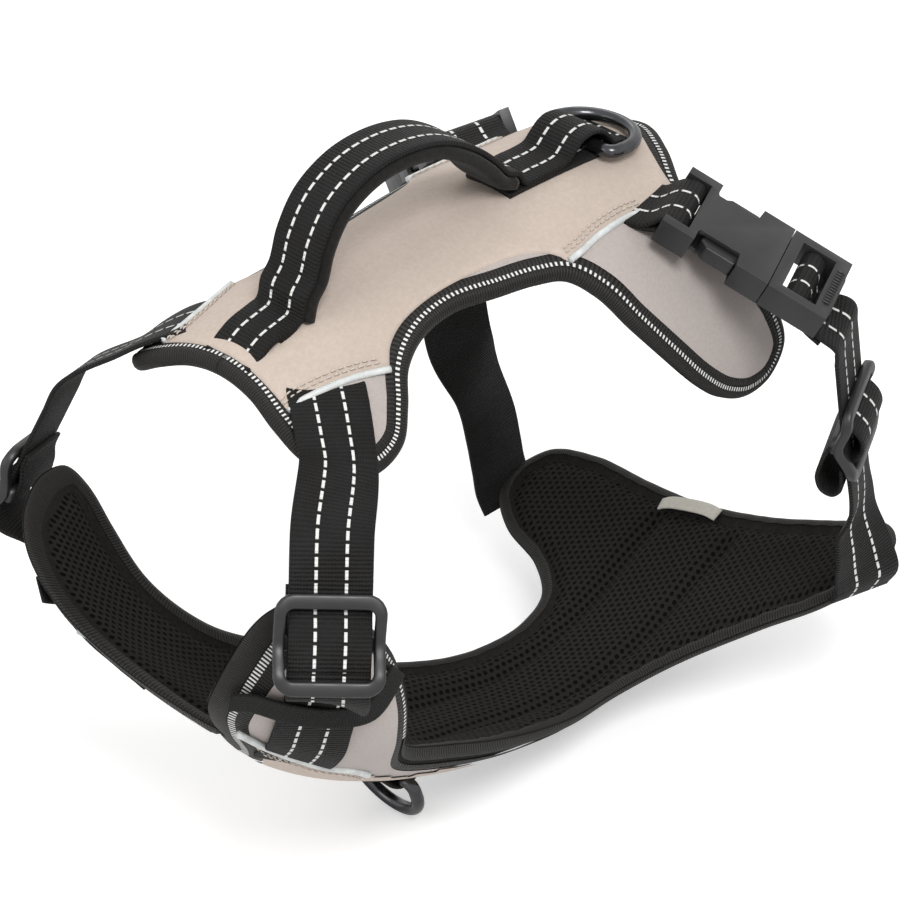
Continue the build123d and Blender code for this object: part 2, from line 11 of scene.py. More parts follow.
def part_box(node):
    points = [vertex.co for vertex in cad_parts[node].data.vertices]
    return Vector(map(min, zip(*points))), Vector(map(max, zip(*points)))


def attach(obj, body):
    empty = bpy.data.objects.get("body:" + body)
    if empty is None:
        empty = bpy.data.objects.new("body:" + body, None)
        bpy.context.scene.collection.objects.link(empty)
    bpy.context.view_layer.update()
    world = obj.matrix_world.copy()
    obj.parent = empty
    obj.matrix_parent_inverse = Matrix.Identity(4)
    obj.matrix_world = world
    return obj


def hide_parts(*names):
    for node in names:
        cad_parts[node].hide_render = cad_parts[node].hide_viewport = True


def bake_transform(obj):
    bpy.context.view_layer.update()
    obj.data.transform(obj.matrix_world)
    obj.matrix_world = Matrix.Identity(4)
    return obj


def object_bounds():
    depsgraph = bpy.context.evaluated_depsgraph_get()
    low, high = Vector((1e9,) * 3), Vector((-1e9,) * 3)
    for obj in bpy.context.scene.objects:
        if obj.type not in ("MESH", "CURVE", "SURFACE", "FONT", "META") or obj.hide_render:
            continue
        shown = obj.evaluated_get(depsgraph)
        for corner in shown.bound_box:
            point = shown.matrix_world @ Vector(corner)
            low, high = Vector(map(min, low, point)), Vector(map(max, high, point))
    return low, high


# Looks of the no pull dog harness.  Shapes are worked out in the sewing pattern's own frame, in
# millimetres (+X tail, +Y dog's right, +Z up, front of the spine seam near the origin), and
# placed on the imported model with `place`.  "left" is the dog's left, -Y.

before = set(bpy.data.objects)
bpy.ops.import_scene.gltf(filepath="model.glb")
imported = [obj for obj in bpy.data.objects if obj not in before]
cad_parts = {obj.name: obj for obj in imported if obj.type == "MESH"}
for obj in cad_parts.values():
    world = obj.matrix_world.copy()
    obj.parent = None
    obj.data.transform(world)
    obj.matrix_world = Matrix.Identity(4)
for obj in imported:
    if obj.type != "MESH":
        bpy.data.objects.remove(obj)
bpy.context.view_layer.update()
rng = random.Random(7)

PANEL_REAR = 198.1             # rearmost point of the back panel in the pattern's frame
SPINE_TOP = 14.0               # highest point of the back panel
panel_low, panel_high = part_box("back_panel")
OFFSET = np.array([
    panel_high.x * 1000 - PANEL_REAR,
    (panel_low.y + panel_high.y) * 500,
    panel_high.z * 1000 - SPINE_TOP,
])


def place(points):
    """Pattern millimetres to frame metres."""
    return (np.asarray(points, float) + OFFSET) / 1000


# ---- Curves and surfaces ----
def unit(v):
    """A vector, or each row of vectors, brought to length 1."""
    v = np.asarray(v, float)
    return v / np.linalg.norm(v, axis=-1, keepdims=True)


def distance_along(points):
    """How far along a line of points each one lies."""
    return np.concatenate([[0], np.cumsum(np.linalg.norm(np.diff(points, axis=0), axis=1))])


def sampled(points, run, stops):
    """Points of a line at the given distances along it."""
    return np.stack([np.interp(stops, run, points[:, k]) for k in range(points.shape[1])], -1)


def through(keys, values):
    """A smooth function of one number through the given keys and values."""
    keys, values = np.asarray(keys, float), np.asarray(values, float)
    slopes = np.gradient(values, keys, axis=0)

    def at(x):
        x = np.clip(np.asarray(x, float), keys[0], keys[-1])
        i = np.clip(np.searchsorted(keys, x) - 1, 0, len(keys) - 2)
        h = keys[i + 1] - keys[i]
        t = (x - keys[i]) / h
        if values.ndim > 1:
            h, t = h[..., None], t[..., None]
        return (
            values[i] * (1 + 2 * t) * (1 - t) ** 2 + slopes[i] * h * t * (1 - t) ** 2
            + values[i + 1] * t * t * (3 - 2 * t) + slopes[i + 1] * h * t * t * (t - 1)
        )

    return at


def spline(points, spacing, closed=False):
    """Points along a smooth curve through `points`, evenly spaced."""
    p = np.asarray(points, float)
    if closed:
        p = np.vstack([p[-3:], p, p[:4]])
    keys = np.concatenate([[0], np.cumsum(np.linalg.norm(np.diff(p, axis=0), axis=1) ** 0.75)])
    curve = through(keys, p)
    first, last = (keys[3], keys[-4]) if closed else (keys[0], keys[-1])
    fine = curve(np.linspace(first, last, 1600))
    run = distance_along(fine)
    count = max(3, int(round(run[-1] / spacing)))
    stops = np.linspace(0, run[-1], count + 1)
    return sampled(fine, run, stops[:-1] if closed else stops)


BACK_R, SPINE_R, SPINE_X = 62.0, 558.0, 120.0


def back(x, s, off=0.0):
    """Point over the saddle: x along the spine, s round it, off above the pad's outer face."""
    x, s, off = np.broadcast_arrays(np.asarray(x, float), s, off)
    quarter = BACK_R * math.pi / 2
    a = np.abs(s)
    phi = np.minimum(a, quarter) / BACK_R
    y = np.sign(s) * (BACK_R + off) * np.sin(phi)
    height = (BACK_R + off) * np.cos(phi) - np.maximum(a - quarter, 0)
    turn = (x - SPINE_X) / SPINE_R
    radius = SPINE_R - BACK_R + height
    return np.stack([
        SPINE_X + radius * np.sin(turn), y, SPINE_TOP - SPINE_R + radius * np.cos(turn)
    ], -1)


STATION = [-42, -20, 0, 30, 62, 95, 130, 170, 205, 245]
floor_z = through(STATION, [-108, -124, -139, -158, -173, -183, -188, -183, -171, -153])
trough_r = through(STATION, [46, 51, 55, 52, 48, 58, 80, 150, 300, 420])
shift_y = through(STATION, [10, 5, 1, 0, 0, 0, -3, -3, 0, 0])
roll_of = through(STATION, np.radians([0, 0, 0, 0, 0, 1.5, 3.5, 6.5, 8.5, 9.5]))
CHEST_PAD = 7.5


def chest(x, s, off=0.0):
    """Point over the trough: s round it, off outside the pad's inner face."""
    x, s, off = np.broadcast_arrays(np.asarray(x, float), s, off)
    r = trough_r(x)
    quarter = r * math.pi / 2
    a = np.abs(s)
    phi = np.minimum(a, quarter) / r
    y = np.sign(s) * (r + off) * np.sin(phi)
    z = r - (r + off) * np.cos(phi) + np.maximum(a - quarter, 0)
    k = roll_of(x)
    return np.stack([
        x, shift_y(x) + y * np.cos(k) + z * np.sin(k), floor_z(x) - y * np.sin(k) + z * np.cos(k)
    ], -1)


def chest_s(x, side, y=None, z=None):
    """The s at which the trough's inner face has the given y or z."""
    s = side * np.linspace(0, 150, 1200)
    p = chest(np.full_like(s, x), s)
    if y is not None:
        return s[np.argmin(abs(p[:, 1] - y))]
    return s[np.argmin(abs(p[:, 2] - z))]


def normals_along(surface, xs):
    """Outward normals of a surface at rows of (x, s)."""
    x, s = xs[:, 0], xs[:, 1]
    return unit(surface(x, s, 2.0) - surface(x, s, 0.0))


# ---- Materials ----
class Nodes:
    """A small builder for the node trees of the materials and of the world."""

    def __init__(self, name, kind="materials", surface="Principled BSDF"):
        self.owner = getattr(bpy.data, kind).new(name)
        self.owner.use_nodes = True
        self.tree = self.owner.node_tree
        self.surface = self.tree.nodes[surface]

    def add(self, kind, **values):
        node = self.tree.nodes.new(kind)
        for key, value in values.items():
            if key in node.inputs:
                self.feed(node.inputs[key], value)
            else:
                setattr(node, key, value)
        return node

    def feed(self, socket, value):
        if isinstance(value, bpy.types.NodeSocket):
            self.tree.links.new(value, socket)
        elif isinstance(value, (tuple, list)) and socket.type == "RGBA" and len(value) == 3:
            socket.default_value = (*value, 1)
        else:
            socket.default_value = value

    def math(self, operation, a, b=0.0, c=0.0):
        node = self.tree.nodes.new("ShaderNodeMath")
        node.operation = operation
        for socket, value in zip(node.inputs, (a, b, c)):
            self.feed(socket, value)
        return node.outputs[0]

    def plus(self, a, b):
        return self.math("ADD", a, b)

    def minus(self, a, b):
        return self.math("SUBTRACT", a, b)

    def times(self, a, b):
        return self.math("MULTIPLY", a, b)

    def cells(self, value, size):
        """How far into its cell of the given size a value lies, 0..1."""
        return self.math("FRACT", self.math("DIVIDE", value, size))

    def smooth(self, value, low, high, to_low=0.0, to_high=1.0):
        node = self.tree.nodes.new("ShaderNodeMapRange")
        node.interpolation_type = "SMOOTHSTEP"
        for key, item in (("Value", value), ("From Min", low), ("From Max", high),
                          ("To Min", to_low), ("To Max", to_high)):
            self.feed(node.inputs[key], item)
        return node.outputs[0]

    def mix(self, share, a, b):
        node = self.tree.nodes.new("ShaderNodeMix")
        node.data_type = "RGBA"
        self.feed(node.inputs["Factor"], share)
        self.feed(node.inputs["A"], a)
        self.feed(node.inputs["B"], b)
        return node.outputs["Result"]

    def uv(self):
        """The pattern's own millimetres, u and v."""
        node = self.add("ShaderNodeUVMap", uv_map="pattern")
        split = self.add("ShaderNodeSeparateXYZ")
        self.tree.links.new(node.outputs[0], split.inputs[0])
        return split.outputs[0], split.outputs[1]

    def noise(self, scale, detail=3.0, rough=0.55):
        node = self.add("ShaderNodeTexNoise", Scale=scale, Detail=detail, Roughness=rough)
        coords = self.add("ShaderNodeTexCoord").outputs["Object"]
        self.tree.links.new(coords, node.inputs["Vector"])
        return node.outputs["Fac"]

    def bump(self, height, strength, distance):
        node = self.add("ShaderNodeBump", Strength=strength, Distance=distance)
        self.feed(node.inputs["Height"], height)
        return node.outputs[0]

    def finish(self, color, rough, normal=None, **more):
        self.feed(self.surface.inputs["Base Color"], color)
        self.feed(self.surface.inputs["Roughness"], rough)
        if normal:
            self.feed(self.surface.inputs["Normal"], normal)
        for key, value in more.items():
            self.feed(self.surface.inputs[key.replace("_", " ")], value)
        return self.owner


BLACK = (0.0095, 0.0088, 0.0082)


def wave(n, value, period):
    """0..1 wave with the given period in millimetres."""
    return n.math("MULTIPLY_ADD", n.math("SINE", n.times(value, 2 * math.pi / period)),
                  0.5, 0.5)


def shade(color, share):
    """A colour made darker or lighter."""
    return tuple(min(1, c * share) for c in color)


def webbing_material(name, rib=1.25, dash_at=None):
    """Ribbed flat webbing; `dash_at` adds two lines of reflective thread that far from its
    middle."""
    n = Nodes(name)
    u, v = n.uv()
    wobble = n.times(n.noise(900.0), 0.5)
    ribs = wave(n, n.plus(u, wobble), rib)
    threads = wave(n, v, 0.9)
    weave = n.plus(n.times(ribs, 0.8), n.times(threads, 0.25))
    fuzz = n.noise(4200.0, 2.0)
    height = n.plus(weave, n.times(fuzz, 0.35))
    # Painted shade in the grooves between ribs and threads, painted highlight on their tops: the
    # colour follows the weave's height.
    tone = n.mix(n.times(weave, 0.6), shade(BLACK, 0.55), shade(BLACK, 1.9))
    tone = n.mix(n.smooth(n.noise(60.0), 0.35, 0.75, 0.0, 0.35), tone, (0.021, 0.021, 0.023))
    if dash_at:
        dash_pitch = 3.9
        place_in = n.cells(u, dash_pitch)
        along = n.times(n.smooth(place_in, 0.0, 0.06),
                       n.smooth(place_in, 0.72, 0.80, 1.0, 0.0))
        line = n.math("ABSOLUTE", n.minus(n.math("ABSOLUTE", v), dash_at))
        share = n.times(n.smooth(line, 0.42, 0.58, 1.0, 0.0), along)
        tone = n.mix(share, tone, (0.74, 0.74, 0.72))
        height = n.plus(height, n.times(share, 1.4))
        groove = n.smooth(line, 0.3, 1.3, 1.0, 0.0)
        height = n.minus(height, n.times(groove, 0.9))
    return n.finish(tone, 0.62, n.bump(height, 0.75, 0.00042), Specular_IOR_Level=0.14,
                    Sheen_Weight=0.02, Sheen_Roughness=0.4)


def cloth_material(name, color, color2, weave_scale, rough=0.8, bump=0.25, mottled=0.25, sheen=0.25,
                   shine=0.25):
    """Soft woven or brushed cloth with fine fibres and a little unevenness."""
    n = Nodes(name)
    u, v = n.uv()
    fibres = n.noise(3400.0 * weave_scale, 4.0, 0.7)
    slubs = n.noise(620.0 * weave_scale, 3.0, 0.6)
    weave = n.plus(wave(n, u, 0.62 / weave_scale), wave(n, v, 0.7 / weave_scale))
    tone = n.mix(n.smooth(slubs, 0.3, 0.72), color, color2)
    tone = n.mix(n.smooth(n.noise(28.0, 4.0), 0.35, 0.7, 0.0, mottled), tone, shade(color, 0.72))
    tone = n.mix(n.smooth(fibres, 0.42, 0.75, 0.0, 0.35), tone, shade(color, 1.35))
    height = n.plus(n.times(fibres, 0.8), n.times(weave, 0.14))
    return n.finish(tone, rough, n.bump(height, bump, 0.0003), Specular_IOR_Level=shine,
                    Sheen_Weight=sheen, Sheen_Roughness=0.45)


def mesh_material(name):
    """Black 3-D air mesh with staggered oval holes."""
    n = Nodes(name)
    u, v = n.uv()
    pitch_u, pitch_v = 2.9, 2.15       # spacing of the holes
    hole_u, hole_v = 1.05, 0.72        # half sizes of a hole
    row = n.math("FLOOR", n.math("DIVIDE", v, pitch_v))
    odd = n.math("MODULO", n.math("ABSOLUTE", row), 2.0)
    du = n.minus(n.math("FRACT", n.plus(n.math("DIVIDE", u, pitch_u),
                                                   n.times(odd, 0.5))), 0.5)
    dv = n.minus(n.cells(v, pitch_v), 0.5)
    du = n.times(du, pitch_u / hole_u)
    dv = n.times(dv, pitch_v / hole_v)
    radius = n.math("SQRT", n.plus(n.times(du, du), n.times(dv, dv)))
    radius = n.plus(radius, n.times(n.minus(n.noise(2200.0), 0.5), 0.5))
    hole = n.smooth(radius, 0.62, 1.02, 1.0, 0.0)
    knit = n.noise(2600.0, 3.0, 0.65)
    yarn = n.mix(knit, (0.008, 0.0074, 0.0068), (0.026, 0.024, 0.022))
    # Painted shade: the holes are coloured near black, for the shade down inside them.
    tone = n.mix(hole, yarn, (0.001, 0.001, 0.001))
    height = n.minus(n.times(knit, 0.25), n.times(hole, 1.0))
    return n.finish(tone, 0.72, n.bump(height, 0.85, 0.0009), Specular_IOR_Level=0.06,
                    Sheen_Weight=0.01, Sheen_Roughness=0.5)


def tape_material(name, rib=0.95):
    """Grosgrain binding tape: ribs across the tape."""
    n = Nodes(name)
    u, v = n.uv()
    ribs = wave(n, n.plus(u, n.times(n.noise(700.0), 0.35)), rib)
    # Painted shade between the ribs and painted highlight on the rib tops: the colour follows the
    # ribs' height.
    tone = n.mix(ribs, shade(BLACK, 0.5), shade(BLACK, 2.6))
    height = n.plus(ribs, n.times(n.noise(3500.0, 2.0), 0.3))
    return n.finish(tone, 0.5, n.bump(height, 0.7, 0.0003), Specular_IOR_Level=0.2)


def ladder_material(name):
    """Decorative ladder stitch: short white bars across a black ground."""
    n = Nodes(name)
    u, v = n.uv()
    cell = n.cells(u, 1.6)
    bar = n.times(n.smooth(cell, 0.12, 0.24), n.smooth(cell, 0.60, 0.72, 1.0, 0.0))
    ends = n.times(n.smooth(v, 0.0, 0.15), n.smooth(v, 1.45, 1.6, 1.0, 0.0))
    bar = n.times(bar, ends)
    tone = n.mix(bar, (0.008, 0.008, 0.009), (0.72, 0.72, 0.70))
    height = n.plus(bar, n.times(n.noise(3000.0, 2.0), 0.25))
    return n.finish(tone, 0.6, n.bump(height, 0.8, 0.0005), Specular_IOR_Level=0.3)


def thread_material(name, color):
    """Sewing thread or cord: fine twisted strands."""
    n = Nodes(name)
    u, v = n.uv()
    twist = wave(n, n.plus(u, n.times(v, 2.0)), 0.55)
    # Painted shade in the grooves of the twist, full colour on the strands' tops.
    tone = n.mix(twist, shade(color, 0.72), color)
    return n.finish(tone, 0.55, n.bump(twist, 0.5, 0.00012), Specular_IOR_Level=0.35)


def piping_material(name):
    """Reflective piping: pale grey skin with a fine bead texture."""
    n = Nodes(name)
    bead = n.noise(5200.0, 2.0)
    tone = n.mix(n.smooth(n.noise(240.0, 3.0), 0.3, 0.75), (0.50, 0.52, 0.51), (0.66, 0.68, 0.67))
    return n.finish(tone, 0.38, n.bump(bead, 0.3, 0.0001), Specular_IOR_Level=0.55)


def plastic_material(name):
    """Satin black moulded plastic with a fine spark-eroded grain."""
    n = Nodes(name)
    grain = n.noise(2600.0, 3.0, 0.6)
    flow = n.noise(45.0, 3.0)
    tone = n.mix(n.smooth(flow, 0.35, 0.7), (0.0105, 0.0105, 0.0112), (0.0155, 0.0155, 0.0165))
    rough = n.smooth(n.noise(160.0, 4.0), 0.3, 0.7, 0.36, 0.46)
    return n.finish(tone, rough, n.bump(grain, 0.16, 0.00012), Specular_IOR_Level=0.5)


def metal_material(name):
    """Glossy black-nickel plating on the rings."""
    n = Nodes(name)
    flow = n.noise(90.0, 4.0)
    tone = n.mix(n.smooth(flow, 0.3, 0.7), (0.055, 0.056, 0.060), (0.085, 0.086, 0.090))
    rough = n.smooth(n.noise(700.0, 5.0), 0.3, 0.75, 0.16, 0.27)
    return n.finish(tone, rough, n.bump(n.noise(1500.0, 2.0), 0.05, 0.0001), Metallic=0.9)


MAT = {
    "webbing": webbing_material("webbing_black"),
    "webbing_dashes": webbing_material("webbing_reflective_thread", dash_at=4.5),
    "spine_dashes": webbing_material("spine_webbing_thread", dash_at=4.1),
    "elastic": webbing_material("elastic_tape", rib=0.8),
    "overlay": cloth_material("overlay_fabric", (0.485, 0.405, 0.35), (0.535, 0.45, 0.39), 1.0,
                              rough=0.85, bump=0.22, sheen=0.1),
    "wing": cloth_material("wing_fabric", (0.39, 0.345, 0.325), (0.43, 0.385, 0.362), 1.6,
                           rough=0.6, bump=0.12, mottled=0.2, sheen=0.1, shine=0.35),
    "lining": cloth_material("lining_border", (0.010, 0.0092, 0.0085), (0.018, 0.0167, 0.0155), 1.3,
                             rough=0.78, bump=0.4, sheen=0.02, shine=0.1),
    "mesh": mesh_material("air_mesh"),
    "tape": tape_material("binding_tape"),
    "ladder": ladder_material("ladder_stitch"),
    "inner_tape": tape_material("inner_tape", rib=1.4),
    "thread_beige": thread_material("thread_beige", (0.66, 0.58, 0.51)),
    "piping": piping_material("reflective_piping"),
    "plastic": plastic_material("moulded_plastic_black"),
    "metal": metal_material("black_nickel"),
    "brushed": cloth_material("handle_brushed", (0.0075, 0.007, 0.0066), (0.014, 0.013, 0.0122), 0.8,
                              rough=0.9, bump=0.7, sheen=0.08, shine=0.2),
    "label": cloth_material("label_cream", (0.52, 0.495, 0.435), (0.60, 0.575, 0.51), 1.4,
                            rough=0.7, bump=0.2),
}


# ---- Mesh helpers ----
def add_object(name, data):
    """A new object, linked into the scene."""
    item = bpy.data.objects.new(name, data)
    bpy.context.scene.collection.objects.link(item)
    return item


def make(name, verts, faces, material, uv, face_material=None, body="harness", replaces=()):
    """A mesh piece from pattern millimetres, with its pattern UVs, body and finish."""
    mats = material if isinstance(material, (list, tuple)) else [material]
    data = bpy.data.meshes.new(name)
    points = place(verts)
    data.from_pydata([tuple(p) for p in points], [], [tuple(int(i) for i in f) for f in faces])
    for key in mats:
        data.materials.append(MAT[key])
    layer = data.uv_layers.new(name="pattern")
    index = np.zeros(len(data.loops), int)
    data.loops.foreach_get("vertex_index", index)
    layer.data.foreach_set("uv", np.asarray(uv, float)[index].astype(np.float32).ravel())
    if face_material is not None:
        data.polygons.foreach_set("material_index", np.asarray(face_material, np.int32))
    data.polygons.foreach_set("use_smooth", np.ones(len(data.polygons), bool))
    data.validate()
    data.update()
    piece = add_object(name, data)
    if body:
        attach(piece, body)
    if replaces:
        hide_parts(*replaces)
    return piece


def grid_faces(rows, columns, closed=False):
    """Quads between rows of points; `closed` joins each row's end to its start."""
    faces = []
    for i in range(rows - 1):
        for j in range(columns if closed else columns - 1):
            k = (j + 1) % columns
            faces.append((i * columns + j, i * columns + k, (i + 1) * columns + k,
                          (i + 1) * columns + j))
    return faces


def ring_faces(rows, sides, closed):
    """Faces of a tube of rows of points: joined into a loop, or capped at both ends."""
    last = (rows - 1) * sides
    faces = grid_faces(rows, sides, closed=True)
    if closed:
        return faces + [(last + j, last + (j + 1) % sides, (j + 1) % sides, j)
                        for j in range(sides)]
    return faces + [tuple(range(sides))[::-1], tuple(last + j for j in range(sides))]


def squared(angles, power):
    """The two coordinates of a circle squared off by a power under 1."""
    c, d = np.cos(angles), np.sin(angles)
    return np.sign(c) * np.abs(c) ** power, np.sign(d) * np.abs(d) ** power


def surface_path(surface, path, off):
    """Points over a surface through (x, s) places, and the direction across a strap there."""
    path = np.asarray(path, float)
    run = unit(np.gradient(path, axis=0))
    off = np.broadcast_to(np.asarray(off, float), len(path))
    points = surface(path[:, 0], path[:, 1], off)
    beside = surface(path[:, 0] + run[:, 1], path[:, 1] - run[:, 0], off)
    return points, beside - points


def frame_along(points, ways):
    """Unit tangents, widths and normals along a line of points."""
    t = unit(np.gradient(points, axis=0))
    w = unit(ways - t * np.sum(ways * t, axis=1)[:, None])
    return t, w, np.cross(w, t)


def strap(name, points, ways, out, width=25.0, thickness=1.5, face="webbing_dashes",
          under="webbing", spacing=1.4, body="harness", replaces=(), rounding=0.0):
    """Webbing along a smooth line.  `out` is the way its outer face looks at the start;
    `rounding` above 0 swells the section, for a padded strap."""
    ways = unit(ways)
    for i in range(1, len(ways)):
        if ways[i] @ ways[i - 1] < 0:
            ways[i] *= -1
    both = spline(np.hstack([np.asarray(points, float), ways * 10]), spacing)
    p, way = both[:, :3], both[:, 3:]
    t, w, n = frame_along(p, way)
    if n[0] @ np.asarray(out, float) < 0:
        n, w = -n, -w
    half, edge = width / 2, thickness / 2
    if rounding:
        c, d = squared(np.linspace(0, 2 * math.pi, 24, endpoint=False), rounding)
        section = np.stack([half * c, edge * d], -1)
        top = range(0, 12)
    else:
        lanes = np.linspace(0.5 - half, half - 0.5, 9)[1:-1]
        section = np.array(
            [(-half, 0), (0.15 - half, edge * 0.75), (0.5 - half, edge)]
            + [(v, edge) for v in lanes]
            + [(half - 0.5, edge), (half - 0.15, edge * 0.75), (half, 0),
               (half - 0.15, -edge * 0.75), (half - 0.5, -edge), (0.5 - half, -edge),
               (0.15 - half, -edge * 0.75)]
        )
        top = range(1, 11)
    columns = len(section)
    run = distance_along(p)
    verts, uvs = [], []
    for i in range(len(p)):
        verts.append(p[i] + section[:, :1] * w[i] + section[:, 1:] * n[i])
        uvs.append(np.stack([np.full(columns, run[i]), section[:, 0]], -1))
    verts, uvs = np.vstack(verts), np.vstack(uvs)
    faces = ring_faces(len(p), columns, closed=False)
    kinds = [0 if k % columns in top else 1 for k in range(len(faces) - 2)] + [1, 1]
    if np.cross(w[0], n[0]) @ t[0] < 0:
        faces = [f[::-1] for f in faces]
    return make(name, verts, faces, [face, under], uvs, kinds, body=body, replaces=replaces)


def tube(name, points, radius, material, spacing=1.0, body="harness", sides=10, replaces=(),
         closed=False, normal=(0.0, 0.0, 1.0)):
    """A round cord along a smooth line of points."""
    p = spline(points, spacing, closed)
    t = np.gradient(p, axis=0)
    if closed:
        t = np.roll(p, -1, axis=0) - np.roll(p, 1, axis=0)
    t = unit(t)
    a = unit(np.cross(t, normal))
    b = np.cross(a, t)
    angles = np.linspace(0, 2 * math.pi, sides, endpoint=False)
    run = distance_along(p)
    verts = [p[i] + radius * (np.cos(angles)[:, None] * a[i]
                              + np.sin(angles)[:, None] * b[i]) for i in range(len(p))]
    uvs = [np.stack([np.full(sides, run[i]), angles * radius], -1) for i in range(len(p))]
    return make(name, np.vstack(verts), ring_faces(len(p), sides, closed), material,
                np.vstack(uvs), body=body, replaces=replaces)


def stitches(name, lines):
    """Rows of single stitches lying on the lines of points; each line is (points, normals)."""
    length, gap, radius = 1.9, 0.8, 0.3
    verts, faces, uvs = [], [], []
    ring = np.linspace(0, 2 * math.pi, 6, endpoint=False)
    for points, normals in lines:
        run = distance_along(points)
        for start in np.arange(0.4, run[-1] - length, length + gap):
            start += rng.uniform(-0.08, 0.08)
            stops = start + length * np.array([0.0, 0.2, 0.5, 0.8, 1.0])
            p = sampled(points, run, stops)
            m = unit(sampled(normals, run, stops))
            side = unit(np.cross(unit(p[-1] - p[0]), m[2]))
            lift = np.array([-0.5, 0.35, 0.55, 0.35, -0.5]) * radius
            girth = np.array([0.55, 0.95, 1.0, 0.95, 0.55]) * radius
            base = len(verts) * 6
            for k in range(5):
                centre = p[k] + m[k] * lift[k]
                verts.append(centre + girth[k] * (np.cos(ring)[:, None] * side
                                                  + np.sin(ring)[:, None] * m[k]))
                uvs.append(np.stack([np.full(6, stops[k]), ring * radius], -1))
            faces += [tuple(base + i for i in f) for f in ring_faces(5, 6, closed=False)]
    return make(name, np.vstack(verts), faces, "thread_beige", np.vstack(uvs))


# ---- Panels: a flat pattern piece filled with triangles and laid over a surface ----
def edge_distance(points, outline):
    """Distance from each point to a closed outline, and how far along it the nearest point is."""
    a, b = outline, np.roll(outline, -1, axis=0)
    ab = b - a
    length = np.linalg.norm(ab, axis=1)
    starts = np.concatenate([[0], np.cumsum(length)[:-1]])
    best = np.full(len(points), 1e9)
    along = np.zeros(len(points))
    for first in range(0, len(points), 2000):
        p = points[first:first + 2000, None, :]
        t = np.clip(np.sum((p - a) * ab, -1) / np.maximum(length ** 2, 1e-12), 0, 1)
        gap = np.linalg.norm(p - (a + ab * t[..., None]), axis=-1)
        i = np.argmin(gap, axis=1)
        rows = np.arange(len(i))
        best[first:first + 2000] = gap[rows, i]
        along[first:first + 2000] = starts[i] + t[rows, i] * length[i]
    return best, along


def inside(points, outline):
    """Whether each point lies within a closed outline."""
    x, y = points[:, 0], points[:, 1]
    result = np.zeros(len(points), bool)
    for (x1, y1), (x2, y2) in zip(outline, np.roll(outline, -1, axis=0)):
        if y1 == y2:
            continue
        cross = (y1 > y) != (y2 > y)
        result ^= cross & (x < (x2 - x1) * (y - y1) / (y2 - y1) + x1)
    return result


def fill(outline, rings, grid):
    """Triangles inside an outline, with rows of points at the given distances from its edge."""
    after, before = np.roll(outline, -1, axis=0), np.roll(outline, 1, axis=0)
    area = np.sum(outline[:, 0] * after[:, 1] - after[:, 0] * outline[:, 1])
    t = unit(after - before)
    inward = np.stack([-t[:, 1], t[:, 0]], -1) * np.sign(area)
    points = [outline]
    for d in rings:
        ring = outline + inward * d
        gap = edge_distance(ring, outline)[0]
        ring = ring[(gap > d - 0.04) & inside(ring, outline)]
        if len(ring):
            chosen = [ring[0]]
            for p in ring[1:]:
                if np.linalg.norm(p - chosen[-1]) > 0.55:
                    chosen.append(p)
            points.append(np.array(chosen))
    low, high = outline.min(0), outline.max(0)
    xs = np.arange(low[0], high[0], grid)
    ys = np.arange(low[1], high[1], grid * 0.866)
    mesh = np.array([(x + (grid / 2 if j % 2 else 0), y) for j, y in enumerate(ys) for x in xs])
    mesh = mesh[inside(mesh, outline)]
    points.append(mesh[edge_distance(mesh, outline)[0] > rings[-1] + grid * 0.6])
    flat = np.vstack(points)
    verts, _, faces = delaunay_2d_cdt(
        [Vector(p) for p in flat], [], [list(range(len(outline)))], 1, 1e-3
    )[:3]
    verts = np.array([tuple(v) for v in verts])
    faces = [f if np.cross(verts[f[1]] - verts[f[0]], verts[f[2]] - verts[f[0]]) > 0 else f[::-1]
             for f in faces if len(f) == 3]
    gap, along = edge_distance(verts, outline)
    return verts, np.array(faces), gap, along


def sheet_piece(name, flat, surface, height, material, keep=None, uv=None, replaces=()):
    """A flat pattern laid over a surface at `height` (per vertex) above it."""
    verts, faces = flat[:2]
    if keep is not None:
        faces = faces[keep[faces].all(axis=1)]
    used, remap = np.unique(faces, return_inverse=True)
    faces = remap.reshape(faces.shape)
    solid = surface(verts[used, 0], verts[used, 1], np.asarray(height)[used])
    return make(name, solid, faces, material, (verts if uv is None else uv)[used],
                replaces=replaces)


def pad_piece(name, flat, surface, first, second, uv, kinds, node):
    """A closed pad between two faces that meet along the pattern's edge."""
    verts, faces, gap = flat[:3]
    rim = gap < 1e-6
    other = np.arange(len(verts))
    other[~rim] = len(verts) + np.arange((~rim).sum())
    points = np.vstack([
        surface(verts[:, 0], verts[:, 1], first),
        surface(verts[~rim, 0], verts[~rim, 1], second[~rim]),
    ])
    shell = [tuple(f) for f in faces] + [tuple(other[f][::-1]) for f in faces]
    return make(name, points, shell, ["mesh", "lining"], np.vstack([uv, uv[~rim]]), kinds,
                replaces=[node])


def laid(surface, places, off):
    """Points over a surface at rows of (x, s)."""
    return surface(places[:, 0], places[:, 1], off)


def round_edge(gap, radius):
    """0 at an edge, rising to 1 over `radius` like the side of a pillow."""
    t = np.clip(gap / radius, 0, 1)
    return np.sqrt(1 - (1 - t) ** 2)


def bell(value, centre, width):
    """1 where the value is at the centre, falling off smoothly on both sides."""
    return np.exp(-((value - centre) / width) ** 2)


def ramp(value, start, width):
    """0 up to `start`, rising evenly to 1 over `width`."""
    return np.clip((value - start) / width, 0, 1)


def bumps(points, scale, seed):
    """Gentle unevenness between -1 and 1, as sums of a few waves."""
    local = random.Random(seed)
    total = np.zeros(len(points))
    for k in range(7):
        angle = local.uniform(0, math.pi)
        f = scale * local.uniform(0.6, 1.7)
        total += np.sin(points[:, 0] * math.cos(angle) * f + points[:, 1] * math.sin(angle) * f
                        + local.uniform(0, 6.28))
    return total / 4


